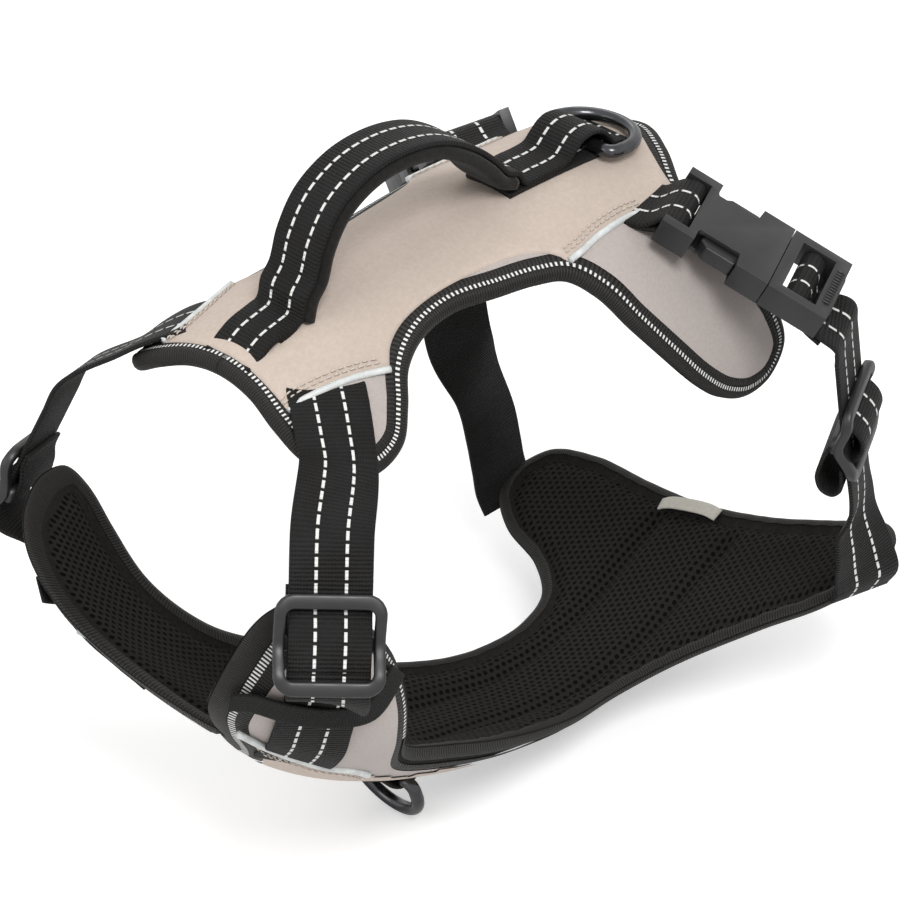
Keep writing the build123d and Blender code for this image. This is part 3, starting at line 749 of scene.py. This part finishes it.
# ---- Back panel ----
half_back = [(-5, 0), (-6, 14), (-9, 29), (-9, 42), (-2, 55), (10, 60), (22, 57.5), (31, 49),
             (39, 40), (50, 34), (66, 32), (84, 35.5), (99, 38.5), (109, 42), (116, 51), (123, 65),
             (135, 81), (149, 95), (163, 104), (177, 107.5), (189, 104), (196, 92), (191, 77),
             (178, 58), (170, 44), (173, 30), (181, 15), (187, 0)]
back_outline = spline(
    [(x, -s) for x, s in half_back] + [(x, s) for x, s in half_back[-2:0:-1]], 1.35, closed=True
)
TAPE, LADDER, INNER = 3.6, 5.2, 8.2     # distances from the edge where each trim ends
back_flat = fill(back_outline, [0.4, 1.0, 1.8, 2.6, TAPE, LADDER, 6.6, INNER, 10.0, 12.2], 2.6)
verts, faces, gap, along = back_flat

# The pad: padded mesh lining below, its border pulled in by the binding.
PAD = 5.0
puff = round_edge(gap, 3.0)
seam = bell(gap, INNER, 1.6)
under = -PAD / 2 - puff * (PAD / 2 - 0.4 * seam) - 0.25 * bumps(verts, 0.35, 3) * puff
over = -PAD / 2 + puff * PAD / 2
border = gap[faces].mean(axis=1) < 9.0
back_pad = pad_piece("back_pad", back_flat, back, over, under, verts,
                     [1] * len(faces) + [int(b) for b in border], "back_panel")

# Trim along the edge, from the edge inwards.
trim_uv = np.stack([along, gap], -1)
relief = 0.15 + 0.35 * bell(gap, TAPE * 0.5, 1.6)
tape_height = -PAD / 2 + puff * (PAD / 2 + 0.35) + relief * puff
inner_height = 0.45 + 0.4 * bell(gap, 6.7, 1.1)
wing_height = 0.55 + 0.9 * (1 - np.exp(-np.clip(gap - INNER, 0, None) / 4)) \
    + 0.2 * bumps(verts, 0.12, 5)
low_tape = -PAD / 2 - puff * (PAD / 2 + 0.35)
for name, height, material, keep, uv in (
    ("back_binding_tape", tape_height, "tape", gap < TAPE + 0.1, trim_uv),
    ("back_ladder_trim", 0.7 + 0 * gap, "ladder", (gap > TAPE - 0.1) & (gap < LADDER + 0.1),
     np.stack([along, gap - TAPE], -1)),
    ("back_inner_tape", inner_height, "inner_tape", (gap > LADDER - 0.1) & (gap < INNER + 0.1),
     trim_uv),
    ("back_wing_fabric", wing_height, "wing", gap > INNER - 0.1, None),
    ("back_binding_turned", low_tape, "tape", gap < 3.5, trim_uv),
):
    sheet_piece(name, back_flat, back, height, material, keep, uv)

# The overlay, with piping where it crosses the four wings.
FRONT_PIPING = [(-2.8, 28.6), (2, 28.3), (7.5, 29.1), (13, 30.2), (19.7, 31.9), (26.8, 34.3),
                (32.5, 36.6)]
REAR_PIPING = [(111.5, 37.4), (118, 36.6), (125.5, 34.9), (133.4, 33.9), (141, 33.3),
               (150, 33.6), (158, 34), (167, 33)]
half_overlay = [
    [(0.4, 0), (0.0, 9), (-1.4, 20), (-2.8, 28.6)],
    FRONT_PIPING,
    [(32.5, 36.6), (38.6, 30.6), (46.2, 27), (56.7, 25), (70, 24.7), (82.3, 25.8), (94.2, 27.5),
     (103.2, 30), (108.5, 33.3), (111.5, 37.4)],
    REAR_PIPING,
    [(167, 33), (168.5, 24), (172.5, 14), (176.5, 6), (177.5, 0)],
]
one_side = np.vstack([spline(part, 1.4)[:-1] for part in half_overlay])
overlay_outline = np.vstack([one_side, [(177.5, 0)], one_side[:0:-1] * (1, -1)])
overlay_flat = fill(overlay_outline, [0.4, 1.0, 2.0, 3.5, 5.5], 2.6)
o_verts, _, o_gap, _ = overlay_flat
overlay_height = 0.7 + 1.0 * round_edge(o_gap, 2.0) + 0.45 * (1 - np.exp(-o_gap / 9)) \
    + 0.16 * bumps(o_verts, 0.07, 11)
sheet_piece("back_overlay", overlay_flat, back, overlay_height, "overlay",
            replaces=["back_cover"])
PIPING, STITCH_INSETS = 1.15, (2.6, 4.1)     # the piping's radius; the stitch lines beside it
stitch_lines = []
for side, word in ((-1, "left"), (1, "right")):
    for end, line in (("front", FRONT_PIPING), ("rear", REAR_PIPING[:6])):
        flat_line = spline([(x, side * s) for x, s in line], 1.0)
        tube(f"piping_{end}_{word}", laid(back, flat_line, 1.6), PIPING, "piping")
        for inset in STITCH_INSETS:
            moved = flat_line.copy()
            moved[:, 1] -= side * inset
            stitch_lines.append((laid(back, moved, 2.3), normals_along(back, moved)))
stitches("overlay_stitches", stitch_lines)

# ---- Chest and belly panel ----
belly_plan = [(62, 36.5), (80, 33), (112, 27), (135, 24), (155, 24), (170, 29), (180, 42), (186, 62),
              (197, 76), (211, 80), (223, 75), (229, 58), (229, 30), (229, 5), (232, -25),
              (237, -55), (238, -70), (231, -79), (216, -81), (202, -72), (188, -55), (168, -38),
              (145, -30), (118, -31), (95, -33), (80, -35), (62, -37)]
# The arms seen from the side: each outline runs from the tip down the front and up the back.
arm_front = {-1: [(-25, -56), (-34, -65), (-39, -78), (-38.5, -91), (-32, -104), (-23, -116),
                  (-14, -127), (-6, -136)],
             1: [(-35, -62), (-37, -78), (-33, -96), (-25, -112), (-14, -127), (-6, -136)]}
arm_rear = {-1: [(48, -148), (31, -136), (25, -121), (20, -103), (13, -84), (1, -67), (-12, -55)],
            1: [(48, -147), (26, -131), (10, -111), (-1, -86), (-10, -66), (-17, -56), (-27, -54)]}


def on_arm(places, side):
    """The chest panel's (x, s) for places on an arm seen from the side, as x and z."""
    return [(x, chest_s(x, side, z=z)) for x, z in places]


chest_points = on_arm(arm_front[1][::-1], 1) + on_arm(arm_rear[1][::-1], 1)
chest_points += [(x, chest_s(x, np.sign(y), y=y)) for x, y in belly_plan]
chest_points += on_arm(arm_rear[-1], -1) + on_arm(arm_front[-1], -1) + [(-3, 0)]
chest_outline = spline(chest_points, 1.4, closed=True)
chest_flat = fill(chest_outline, [0.4, 1.0, 1.8, 2.6, 3.6, 5.6, 7.2, 9.0, 11.0], 2.7)
c_verts, c_faces, c_gap, c_along = chest_flat
c_x, c_y = c_verts.T
RIM = 1.2                      # the binding squeezes the pad's edge up to its inner face
c_puff = round_edge(c_gap, 4.0)
on_belly = ramp(c_x, 20, 50)
border_at = 8.5 - 2.5 * on_belly
ring_seam = bell(c_gap, border_at, 1.4)
channels = np.zeros(len(c_verts))
for at, drift in ((-10.0, -0.05), (11.0, 0.05)):
    middle_line = at + drift * (c_x - 90)
    near = bell(c_y, middle_line, 3.0)
    channels = np.maximum(channels, near * ramp(c_x, 66, 10) * ramp(222 - c_x, 0, 6))
swell = ramp(c_gap, 0, 14)
puckers = np.sin(c_along * 0.75 + 1.3 * np.sin(c_along * 0.21)) * bell(c_gap, 7, 4.5)
inner_face = RIM - c_puff * (RIM + 1.2 * swell) + 1.8 * ring_seam * c_puff \
    + 3.6 * channels * c_puff + 0.18 * bumps(c_verts, 0.3, 21) * c_puff \
    + 0.35 * puckers * on_belly
outer_rise = CHEST_PAD - 0.1 - RIM
outer_face = RIM + outer_rise * c_puff * (1 - np.exp(-(c_gap + 1.5) / 7.0))
slope_x = np.arange(-45, 250, 5.0)
slope_run = through(slope_x, np.concatenate([[0], np.cumsum(np.hypot(
    5.0, np.diff(floor_z(slope_x))))]))
c_uv = np.stack([slope_run(c_x), c_y], -1)
in_border = (c_gap - border_at)[c_faces].mean(axis=1) < 0
chest_pad = pad_piece("chest_pad", chest_flat, chest, inner_face, outer_face, c_uv,
                      [int(b) for b in in_border] + [1] * len(c_faces), "chest_panel")

# Binding over the panel's edge, then ladder stitch and tape on the outer face.
c_trim_uv = np.stack([c_along, c_gap], -1)
tape_bead = 0.3 + 0.4 * bell(c_gap, 1.8, 1.6) * c_puff
piping_s = through([-34, -18, -4, 10, 24, 60], [42, 39, 40, 42, 36, 33])
past_piping = np.abs(c_y) - piping_s(c_x)
covered = (c_gap > 8.9) & (c_x < 76)
for name, height, material, keep, uv, nodes in (
    ("chest_binding_outer", outer_face + tape_bead, "tape", c_gap < 3.7, c_trim_uv, ()),
    ("chest_binding_inner", inner_face - tape_bead, "tape",
     (c_gap < 3.7) | ((c_gap < 5.7) & (c_x < 72)), c_trim_uv, ()),
    ("chest_ladder_trim", outer_face + 0.7, "ladder",
     (c_gap > 3.5) & (c_gap < 5.7) & (c_x < 22),
     np.stack([c_along, (c_gap - 3.6) * 0.8], -1), ()),
    ("chest_inner_tape", outer_face + 0.5 + 0.4 * bell(c_gap, 7.3, 1.1), "inner_tape",
     (c_gap > 5.5) & (c_gap < 9.1), c_trim_uv, ()),
    ("arm_fabric", outer_face + 0.75, "wing", covered & (past_piping > -4), None, ()),
    ("chest_overlay", outer_face + 1.3, "overlay", covered & (past_piping < 1.4), None,
     ["chest_cover"]),
):
    sheet_piece(name, chest_flat, chest, height, material, keep, uv, nodes)
chest_lines = []
for side, word in ((-1, "left"), (1, "right")):
    line = spline([(x, side * (piping_s(x) + 0.6)) for x in (-32, -18, -4, 8, 16)], 1.0)
    line = line[edge_distance(line, chest_outline)[0] > (1.0 if side < 0 else 6.0)]
    tube(f"piping_chest_{word}", laid(chest, line, CHEST_PAD + 1.0), PIPING, "piping")
    for inset in STITCH_INSETS:
        moved = line.copy()
        moved[:, 1] -= side * inset
        moved = moved[edge_distance(moved, chest_outline)[0] > 9.5]
        chest_lines.append((laid(chest, moved, CHEST_PAD + 1.4), normals_along(chest, moved)))
stitches("chest_stitches", chest_lines)
label_path = [(225, -5), (224.5, -1.5), (223, 7), (221.5, 15.5), (221, 19)]
label_points, label_ways = surface_path(chest, label_path, [-1.2, -2.6, -3.6, -3.2, -1.8])
strap("care_label_tape", label_points, label_ways, (0, 0, 1), width=5.5, thickness=0.8,
      face="label", under="label", replaces=["care_label"])

# ---- Spine webbing, handle and the ring tunnels ----
ACROSS = np.array([0.0, 1.0, 0.0])


def side_strap(name, path, out=(0, 0, 1), width=20.0, face="spine_dashes", **more):
    """Webbing over or under the middle line, drawn from the side."""
    points = [(x, 0, z) for x, z in path]
    return strap(name, points, [ACROSS] * len(points), out, width=width, face=face, **more)


def over_spine(x, height):
    """The x and z of a place over the spine."""
    p = back(x, 0.0, height)
    return float(p[0]), float(p[2])


def under_chest(x, depth):
    """The x and z of a place under the chest panel's middle."""
    return x, float(floor_z(x)) - CHEST_PAD - depth


side_strap("spine_strap_front",
           [over_spine(x, h) for x, h in ((-1, -0.6), (2.5, 0.1), (6, 1.6), (10, 2.9), (17, 3.4),
                                          (22.5, 3.6))], replaces=["spine_webbing_front"])
side_strap("spine_strap_rear", [over_spine(x, 2.3) for x in (112, 124, 136, 148, 158, 168)],
           replaces=["spine_webbing_rear"])
arch = [(27.6, 20), (31.2, 30), (38.5, 40.5), (51, 47.5), (66, 49.5), (83, 46.5), (96, 39.5),
        (106, 31), (112.5, 24)]
handle_path = [over_spine(13, 2.0), over_spine(18, 2.2), over_spine(22.6, 4.2),
               over_spine(25.4, 10)] + arch + [over_spine(116.5, 8.5), over_spine(119.5, 4.0),
                                               over_spine(124, 2.6), over_spine(131, 2.4)]
side_strap("handle_strap", handle_path, replaces=["handle_webbing"], thickness=1.8)
PAD_DROP = 3.3
pad_path = []
for (x0, z0), (x1, z1), (x2, z2) in zip(handle_path[1:], handle_path[2:], handle_path[3:-2]):
    length = math.hypot(x2 - x0, z2 - z0)
    pad_path.append((x1 + PAD_DROP * (z2 - z0) / length, z1 - PAD_DROP * (x2 - x0) / length))
handle_pad = side_strap("handle_padding", pad_path, width=22.5, thickness=5.2, face="brushed",
                        under="brushed", replaces=["handle_pad"], rounding=0.55)

BAR_X, CHEST_BAR_X, BAR_LIFT = 152.0, 62.0, 5.25
WIRE = 2.25


def d_ring(name, bar, outward, body, node):
    """D-ring of round wire: its straight side on `bar`, its bow along `outward`."""
    half, corner, depth = 15.25, 3.0, 5.25
    straight = [(y, 0) for y in np.linspace(corner - half, half - corner, 12)]
    turn = [(half - corner + corner * math.sin(a), corner - corner * math.cos(a))
            for a in np.linspace(0.3, math.pi / 2, 5)]
    bow = [(half * math.cos(a), depth + half * math.sin(a)) for a in np.linspace(0, math.pi, 40)]
    flat = straight + turn + bow + [(-y, d) for y, d in turn[::-1]]
    outward = unit(outward)
    points = [np.asarray(bar) + ACROSS * y + outward * d for y, d in flat]
    tube(name, points, WIRE, "metal", spacing=0.9, body=body, sides=20, replaces=[node],
         closed=True, normal=np.cross(ACROSS, outward))


back_bar = back(BAR_X, 0.0, BAR_LIFT)
d_ring("back_d_ring", back_bar, (1, 0, -0.1), "back_ring_body", "back_ring")
tunnel = [over_spine(x, h) for x, h in (
    (119.5, 3.4), (126, 3.8), (133, 3.8), (138.2, 4.6), (141.2, 7.4), (144.6, 10.2), (149, 11.2),
    (153.6, 10.2), (157.2, 7.2), (159.6, 4.4), (163.5, 3.9))]
side_strap("back_ring_tunnel", tunnel, replaces=["back_ring_loop"], spacing=0.8)

chest_bar = np.array([CHEST_BAR_X, 0.0, under_chest(CHEST_BAR_X, BAR_LIFT)[1]])
d_ring("chest_d_ring", chest_bar, (0.35, 0, -1), "chest_ring_body", "chest_ring")
side_strap("chest_strap", [under_chest(x, 2.4) for x in (40, 50, 62, 74, 82)], out=(0, 0, -1),
           replaces=["chest_webbing"])
side_strap("chest_ring_tunnel", [under_chest(x, h) for x, h in (
    (48, 4.6), (54, 5.3), (58, 8.1), (62, 9.2), (66, 8.1), (70, 5.3), (76, 4.6))],
    out=(0, 0, -1), replaces=["chest_ring_loop"], spacing=0.8)


# ---- Sliders ----
def sweep_section(name, points, radial, normal, sizes, body, closed, replaces=()):
    """A rounded-rectangle bar along points, `sizes` its half width and half height at each."""
    sides = 20
    c, d = squared(np.linspace(0, 2 * math.pi, sides, endpoint=False), 0.5)
    verts, uvs = [], []
    for p, r, n, (a, b) in zip(points, radial, normal, sizes):
        verts.append(p + a * c[:, None] * r + b * d[:, None] * n)
        uvs.append(np.stack([c * a, d * b], -1))
    piece = make(name, np.vstack(verts), ring_faces(len(points), sides, closed), "plastic",
                 np.vstack(uvs), body=body, replaces=replaces)
    mesh = bmesh.new()
    mesh.from_mesh(piece.data)
    bmesh.ops.recalc_face_normals(mesh, faces=mesh.faces)
    mesh.to_mesh(piece.data)
    mesh.free()


def slider(word, centre, across, run, out, body, node, bulge):
    """Moulded three-bar slider with S-bent rails, and the webbing bulging over its middle bar."""
    across, run, out = unit(across), unit(run), unit(out)
    half_a, half_t, corner = 14.9, 12.9, 4.2
    outline = []
    for qa, qt, start in ((1, 1, 0), (-1, 1, 90), (-1, -1, 180), (1, -1, 270)):
        for a in np.linspace(0, 90, 9):
            angle = math.radians(start + a)
            outline.append((qa * (half_a - corner) + corner * math.cos(angle),
                            qt * (half_t - corner) + corner * math.sin(angle)))
    outline = spline_straight(outline, 1.2)
    tangent = unit(np.roll(outline, -1, axis=0) - np.roll(outline, 1, axis=0))
    points, radial, normal, sizes = [], [], [], []
    for (a, t), (ta, tt) in zip(outline, tangent):
        share = min(1.0, abs(t) / 10.5)
        lift = -0.9 + 3.5 * share * share * (3 - 2 * share)
        points.append(centre + across * a + run * t + out * lift)
        radial.append(across * tt - run * ta)
        normal.append(out)
        flat = abs(ta)
        sizes.append((1.75 + 0.55 * flat, 1.75 - 0.2 * flat))
    sweep_section(f"slider_{word}", points, radial, normal, sizes, body, True, replaces=[node])
    bar = [centre + across * a - out * 2.6 for a in np.linspace(-half_a, half_a, 8)]
    sweep_section(f"slider_bar_{word}", bar, [run] * 8, [out] * 8, [(2.2, 1.4)] * 8, body,
                  False)
    rise = [(11.5, -0.2), (9.5, 0.25), (7.2, 0.9 + bulge * 0.35), (3.6, 1.2 + bulge * 0.85)]
    path = [(-t, h) for t, h in rise] + [(0, 1.3 + bulge)] + rise[::-1]
    strap(f"webbing_over_bar_{word}", [centre + run * t + out * h for t, h in path],
          [across] * len(path), out, width=24.8, thickness=1.4, body=body, spacing=0.8)


def spline_straight(points, spacing):
    """Evenly spaced points along a closed chain of straight pieces."""
    p = np.vstack([points, points[:1]])
    run = distance_along(p)
    return sampled(p, run, np.linspace(0, run[-1], int(run[-1] / spacing) + 1)[:-1])


# ---- Neck straps, their sliders and the elastic keepers on the chest arms ----
# Each slider's middle, the way its strap runs down, and the way across the strap.
neck_places = {
    "left": ((-27, -72, -54), (-0.37, -0.33, -0.86), (0.8, -0.6, 0)),
    "right": ((-21, 76.5, -67), (-0.35, 0.27, -0.9), (0.94, 0.34, 0)),
}
# Where each strap and each keeper lies on its arm, as x, s and height over the panel.
arm_paths = {
    "left": [(-15.5, -71, 3.0), (-16, -64.8, 2.4), (-15.5, -57, 2.3), (-13.6, -49, 2.0),
             (-11.5, -42, 0.9), (-9, -35, -0.3)],
    "right": [(-17, 66, 3.2), (-12.5, 53.5, 2.4), (-9, 46, 2.0), (-6, 39.5, 0.8), (-3, 33, -0.3)],
}
keeper_paths = {
    "left": [(-39, -54, 0.0), (-34, -57.5, 0.9), (-25, -61, 3.4), (-13.7, -66.3, 4.2),
             (-2, -75, 3.4), (6, -84, 0.9), (10.5, -90, 0.0)],
    "right": [(-33, 50, -0.4), (-29, 51, 0.9), (-23, 53, 3.6), (-11, 57.5, 4.2), (-2, 64, 3.2),
              (3, 70, 0.9), (6, 74, 0.0)],
}
for side, word in ((-1, "left"), (1, "right")):
    centre, run, across = [np.array(v, float) for v in neck_places[word]]
    body = f"neck_slider_{word}_body"
    run = unit(run)
    across = unit(across - run * (across @ run))
    out = unit(np.cross(across, run))
    if out[1] * side < 0:
        out = -out
    wing = [(16 - 16.5 * k, side * (24 + 22.5 * k)) for k in (0.05, 0.2, 0.38, 0.6, 0.85, 1.1)]
    wing_points, wing_ways = surface_path(back, wing, [-1.7, 0.3, 1.4, 2.1, 2.6, 3.2])
    free = [centre - run * t for t in ((33, 18, 0) if side < 0 else (40, 31, 16, 0, -6))]
    below = [centre + run * 14]
    if side > 0:
        below = [centre + run * 13 - out * 3, np.array((-20.0, 68, -84))]
    path = np.array(arm_paths[word])
    arm_points, arm_ways = surface_path(chest, path[:, :2], CHEST_PAD + path[:, 2])
    strap(f"neck_webbing_{word}",
          list(wing_points) + free + below + list(arm_points),
          list(wing_ways) + [across] * len(free + below) + list(arm_ways),
          (0, side * 0.5, 1), replaces=[f"neck_strap_{word}", f"arm_webbing_{word}"])
    slider(f"neck_{word}", centre, across, run, out, body, f"neck_slider_{word}", 1.0)
    tail_end = -16 + side * 1.5
    tail = [centre + run * t - out * h
            for t, h in ((0, 4.2), (-6, 3.6), (-10, 1.9), (tail_end, 1.7))]
    strap(f"neck_tail_{word}", [q - across * 0.7 for q in tail], [across] * 4, out, thickness=1.3,
          body=body, spacing=1.0)
    path = np.array(keeper_paths[word])
    hold_points, hold_ways = surface_path(chest, path[:, :2], CHEST_PAD + path[:, 2])
    strap(f"elastic_keeper_{word}", hold_points, hold_ways, (0, side, -0.3), width=9.0,
          thickness=1.0, face="elastic", under="elastic", replaces=[f"keeper_{word}"])


# ---- Buckles and girth straps ----
def bevelled(node, name, width, body, material="plastic"):
    """A CAD part with its sharp edges rounded as a moulding's are."""
    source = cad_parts[node]
    data = bpy.data.meshes.new_from_object(source)
    piece = add_object(name, data)
    piece.matrix_world = source.matrix_world.copy()
    mesh = bmesh.new()
    mesh.from_mesh(data)
    bmesh.ops.remove_doubles(mesh, verts=mesh.verts, dist=1e-6)
    bmesh.ops.dissolve_limit(mesh, angle_limit=math.radians(1.5), verts=mesh.verts,
                             edges=mesh.edges)
    mesh.to_mesh(data)
    mesh.free()
    data.materials.clear()
    data.materials.append(MAT[material])
    data.polygons.foreach_set("use_smooth", np.ones(len(data.polygons), bool))
    bevel = piece.modifiers.new("edges", "BEVEL")
    bevel.width = width / 1000
    bevel.segments = 3
    bevel.limit_method = "ANGLE"
    bevel.angle_limit = math.radians(35)
    bevel.harden_normals = True
    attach(piece, body)
    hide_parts(node)


# Each socket's mouth end, the way its buckle points and the way its flat face looks; the ends of
# the strap's straight run, from the plug; and the belly panel's corners.
buckles = {
    "left": (back(155.0, -37.0, 8.3), (0.41, -0.80, -0.44), (0.15, -0.42, 0.895)),
    "right": (back(150.0, 45.5, 6.8), (0.38, 0.68, -0.63), (0.12, 0.62, 0.775)),
}
runs = {
    "left": ((5.0, -2.4, -16.7), (18.7, -0.9, -81.7)),
    "right": ((2.9, 1.5, -11.7), (14.9, 0, -76.7)),
}
corners = {"left": (208, -75), "right": (207, 75)}
PLUG_END, PLUG_BAR, SOCKET_BAR = 59.8, 48.8, 4.2
for side, word in ((-1, "left"), (1, "right")):
    origin, forward, facing = buckles[word]
    facing = unit(facing)
    forward = unit(np.asarray(forward) - facing * (np.asarray(forward) @ facing))
    beside = np.cross(facing, forward)

    def local(a, h, b=0.0):
        """Point at `a` along the buckle, `h` above its middle and `b` across it."""
        return origin + forward * a + facing * h + beside * b

    plug_body = f"plug_{word}_body"
    bevelled(f"buckle_socket_{word}", f"socket_{word}", 0.8, "harness")
    bevelled(f"buckle_plug_{word}", f"plug_{word}", 1.0, plug_body)
    for end in ("front", "rear"):
        bevelled(f"latch_{end}_{word}", f"prong_{end}_{word}", 0.5, f"latch_{end}_{word}_body")
    for k in range(13):
        b = -9 + 1.5 * k
        rib = [local(a, h, b) for a, h in ((56.2, 4.2), (57.4, 4.75), (58.6, 4.5), (59.6, 3.4),
                                           (60.0, 1.8), (60.0, -0.5))]
        tube(f"plug_grip_rib_{word}_{k}", rib, 0.42, "plastic", body=plug_body, sides=8)

    # Webbing to the socket: out from under the overlay, round the bar and back over itself.
    def under_buckle(a, off):
        """Point over the back panel under the buckle's middle line."""
        q = local(a, 0)
        return back(q[0], BACK_R * math.asin(q[1] / BACK_R / 1.1), off)

    anchor = [under_buckle(a, h) for a, h in ((-17, -0.9), (-11, -0.5), (-6, 0.9))]
    anchor += [local(SOCKET_BAR + a, h)
               for a, h in ((-3.5, -3.9), (1.0, -3.4), (3.2, 0), (1.5, 3.0), (-3.0, 2.2))]
    anchor += [under_buckle(a, h) for a, h in ((-4.5, 3.4), (-8, 1.2), (-11.5, -0.6))]
    strap(f"anchor_webbing_{word}", anchor, [beside] * len(anchor), -facing,
          replaces=[f"girth_anchor_{word}"], spacing=0.8)

    # Webbing from the plug's bar to the straight run.
    tail_end = local(PLUG_END, 0)
    top, bottom = [tail_end + np.array(offset) for offset in runs[word]]
    run = unit(bottom - top)
    way = unit(beside - run * (beside @ run))
    lead = [local(PLUG_BAR + a, h) for a, h in ((-1.0, -3.2), (-3.2, -1.0), (-2.6, 2.0), (0, 3.2),
                                                (2.6, 1.9), (4.0, -2.2), (6.5, -5.4))]
    lead += [local(PLUG_END + 1, -6.4), top - run * 6, top]
    piece = strap(f"lead_webbing_{word}", lead, [beside] * 8 + [way] * 2, -facing,
                  replaces=[f"girth_lead_{word}"], body=None, spacing=0.9)
    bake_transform(piece)
    under_layer = [local(PLUG_BAR - 1.6, -3.0), local(PLUG_BAR + 3, -4.6),
                   local(PLUG_END - 3, -7.2), local(PLUG_END + 3, -8.6)]
    strap(f"lead_under_{word}", under_layer, [beside] * 4, -facing, body=plug_body,
          thickness=1.3)

    # The strap that carries the slider, down to the belly panel's corner.
    face = np.cross(way, run)
    if face[1] * side < 0:
        face = -face
    base = chest(*corners[word], 0.0)
    if word == "left":
        drop = [((-7.3, -13.1, 38), (0.97, 0.2, 0.05)), ((-4, -13.5, 26), (0.97, 0, 0.1)),
                ((-0.5, -13, 16), (0.95, -0.2, 0.15)), ((2.0, -12.5, 8), (0.93, -0.3, 0.17)),
                ((2.5, -9, 1.5), (0.93, -0.3, 0.17))]
    else:
        drop = [((-11, 12.5, 40), (0.98, 0.1, 0.1)),
                ((-4, 12, 18), (1, 0, 0.25)), ((-2, 11, 5), (1, 0, 0.3)),
                ((-1, 9.5, -5), (1, 0, 0.3)), ((-0.5, 5, -13), (1, 0, 0.3))]
    straight = (0, 0.5, 1) if side < 0 else (0, 0.25, 0.5, 0.75, 1)
    route = [top - run + (bottom - top + run) * t for t in straight]
    route += [base + np.array(q) for q, w in drop]
    ways = [way] * len(straight) + [np.array(w, float) for q, w in drop]
    strap(f"girth_webbing_{word}", route, ways, face, replaces=[f"girth_strap_{word}"])
    body = f"girth_slider_{word}_body"
    middle = (top + bottom) / 2
    slider(f"girth_{word}", middle, way, run, face, body, f"girth_slider_{word}",
           5.0 if word == "left" else 2.0)
    if word == "left":
        slack = [(-1, -2.4), (3, -5.2), (10, -8.4), (17, -10.2), (22, -8.8), (23.6, -5.6),
                 (21.5, -2.9), (16.5, -1.9), (12, -1.7)]
    else:
        slack = [(-1, -2.4), (3, -3.6), (7, -4.2), (10, -3.4), (11, -2.2), (9, -1.7)]
    strap(f"slack_loop_{word}", [middle + run * t + face * h for t, h in slack],
          [way] * len(slack), -face, face="webbing", body=body, thickness=1.3, spacing=0.9)

# ---- Stage, lights and camera ----
floor_data = bpy.data.meshes.new("floor")
FLOOR = 6.0                    # half the floor's side
floor_data.from_pydata([(FLOOR * x, FLOOR * y, 0) for x, y in ((-1, -1), (1, -1), (1, 1), (-1, 1))],
                       [], [(0, 1, 2, 3)])
stage_floor = add_object("stage_floor", floor_data)
low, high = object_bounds()
stage_floor.location.z = low.z - 0.0005
paper = Nodes("studio_paper")
seen = paper.add("ShaderNodeLightPath").outputs["Is Camera Ray"]
paper.finish(paper.mix(paper.noise(3.0), (0.80, 0.80, 0.80), (0.82, 0.82, 0.82)), 0.9,
             Emission_Color=(1, 1, 1), Emission_Strength=paper.times(seen, 0.4))
floor_data.materials.append(paper.owner)

# Plain white to the camera and in reflections, softer as a light.
AMBIENT = 0.66                 # the world's strength as a light
sky = Nodes("studio", "worlds", "Background")
bpy.context.scene.world = sky.owner
rays = sky.add("ShaderNodeLightPath").outputs
shown = sky.math("MAXIMUM", rays["Is Camera Ray"], rays["Is Glossy Ray"])
shown = sky.math("MAXIMUM", shown, rays["Is Transmission Ray"])
sky.feed(sky.surface.inputs["Color"], (1, 1, 1))
sky.feed(sky.surface.inputs["Strength"], sky.math("MULTIPLY_ADD", shown, 1 - AMBIENT, AMBIENT))


def light(name, position, target, size, power):
    """A soft round lamp that looks at a target."""
    data = bpy.data.lights.new(name, "AREA")
    data.shape = "DISK"
    data.size = size
    data.energy = power
    lamp = add_object(name, data)
    lamp.location = position
    lamp.rotation_euler = (Vector(target) - Vector(position)).to_track_quat("-Z", "Y").to_euler()


middle = (0.0, 0.0, 0.13)
light("key", (-0.5, -0.9, 1.5), middle, 0.7, 19)
light("fill", (-1.4, 0.3, 0.8), middle, 1.0, 4)
light("back", (0.9, 1.0, 1.2), middle, 0.8, 3)

camera_data = bpy.data.cameras.new("camera")
camera = add_object("camera", camera_data)
target = Vector(place([95.0, 0.0, -75.0]))
AZIMUTH, ELEVATION = math.radians(45), math.radians(33)
DISTANCE, SPAN = 1.3, 0.9 / 3.08     # metres to the target, and across the picture there
back_way = Vector((-math.sin(AZIMUTH) * math.cos(ELEVATION),
                   -math.cos(AZIMUTH) * math.cos(ELEVATION), math.sin(ELEVATION)))
camera.location = target + back_way * DISTANCE
camera.rotation_euler = (-back_way).to_track_quat("-Z", "Y").to_euler()
camera_data.sensor_width = 36
camera_data.lens = 36 * DISTANCE / SPAN
camera_data.clip_end = 20
bpy.context.scene.camera = camera
bpy.context.scene.view_settings.view_transform = "Standard"
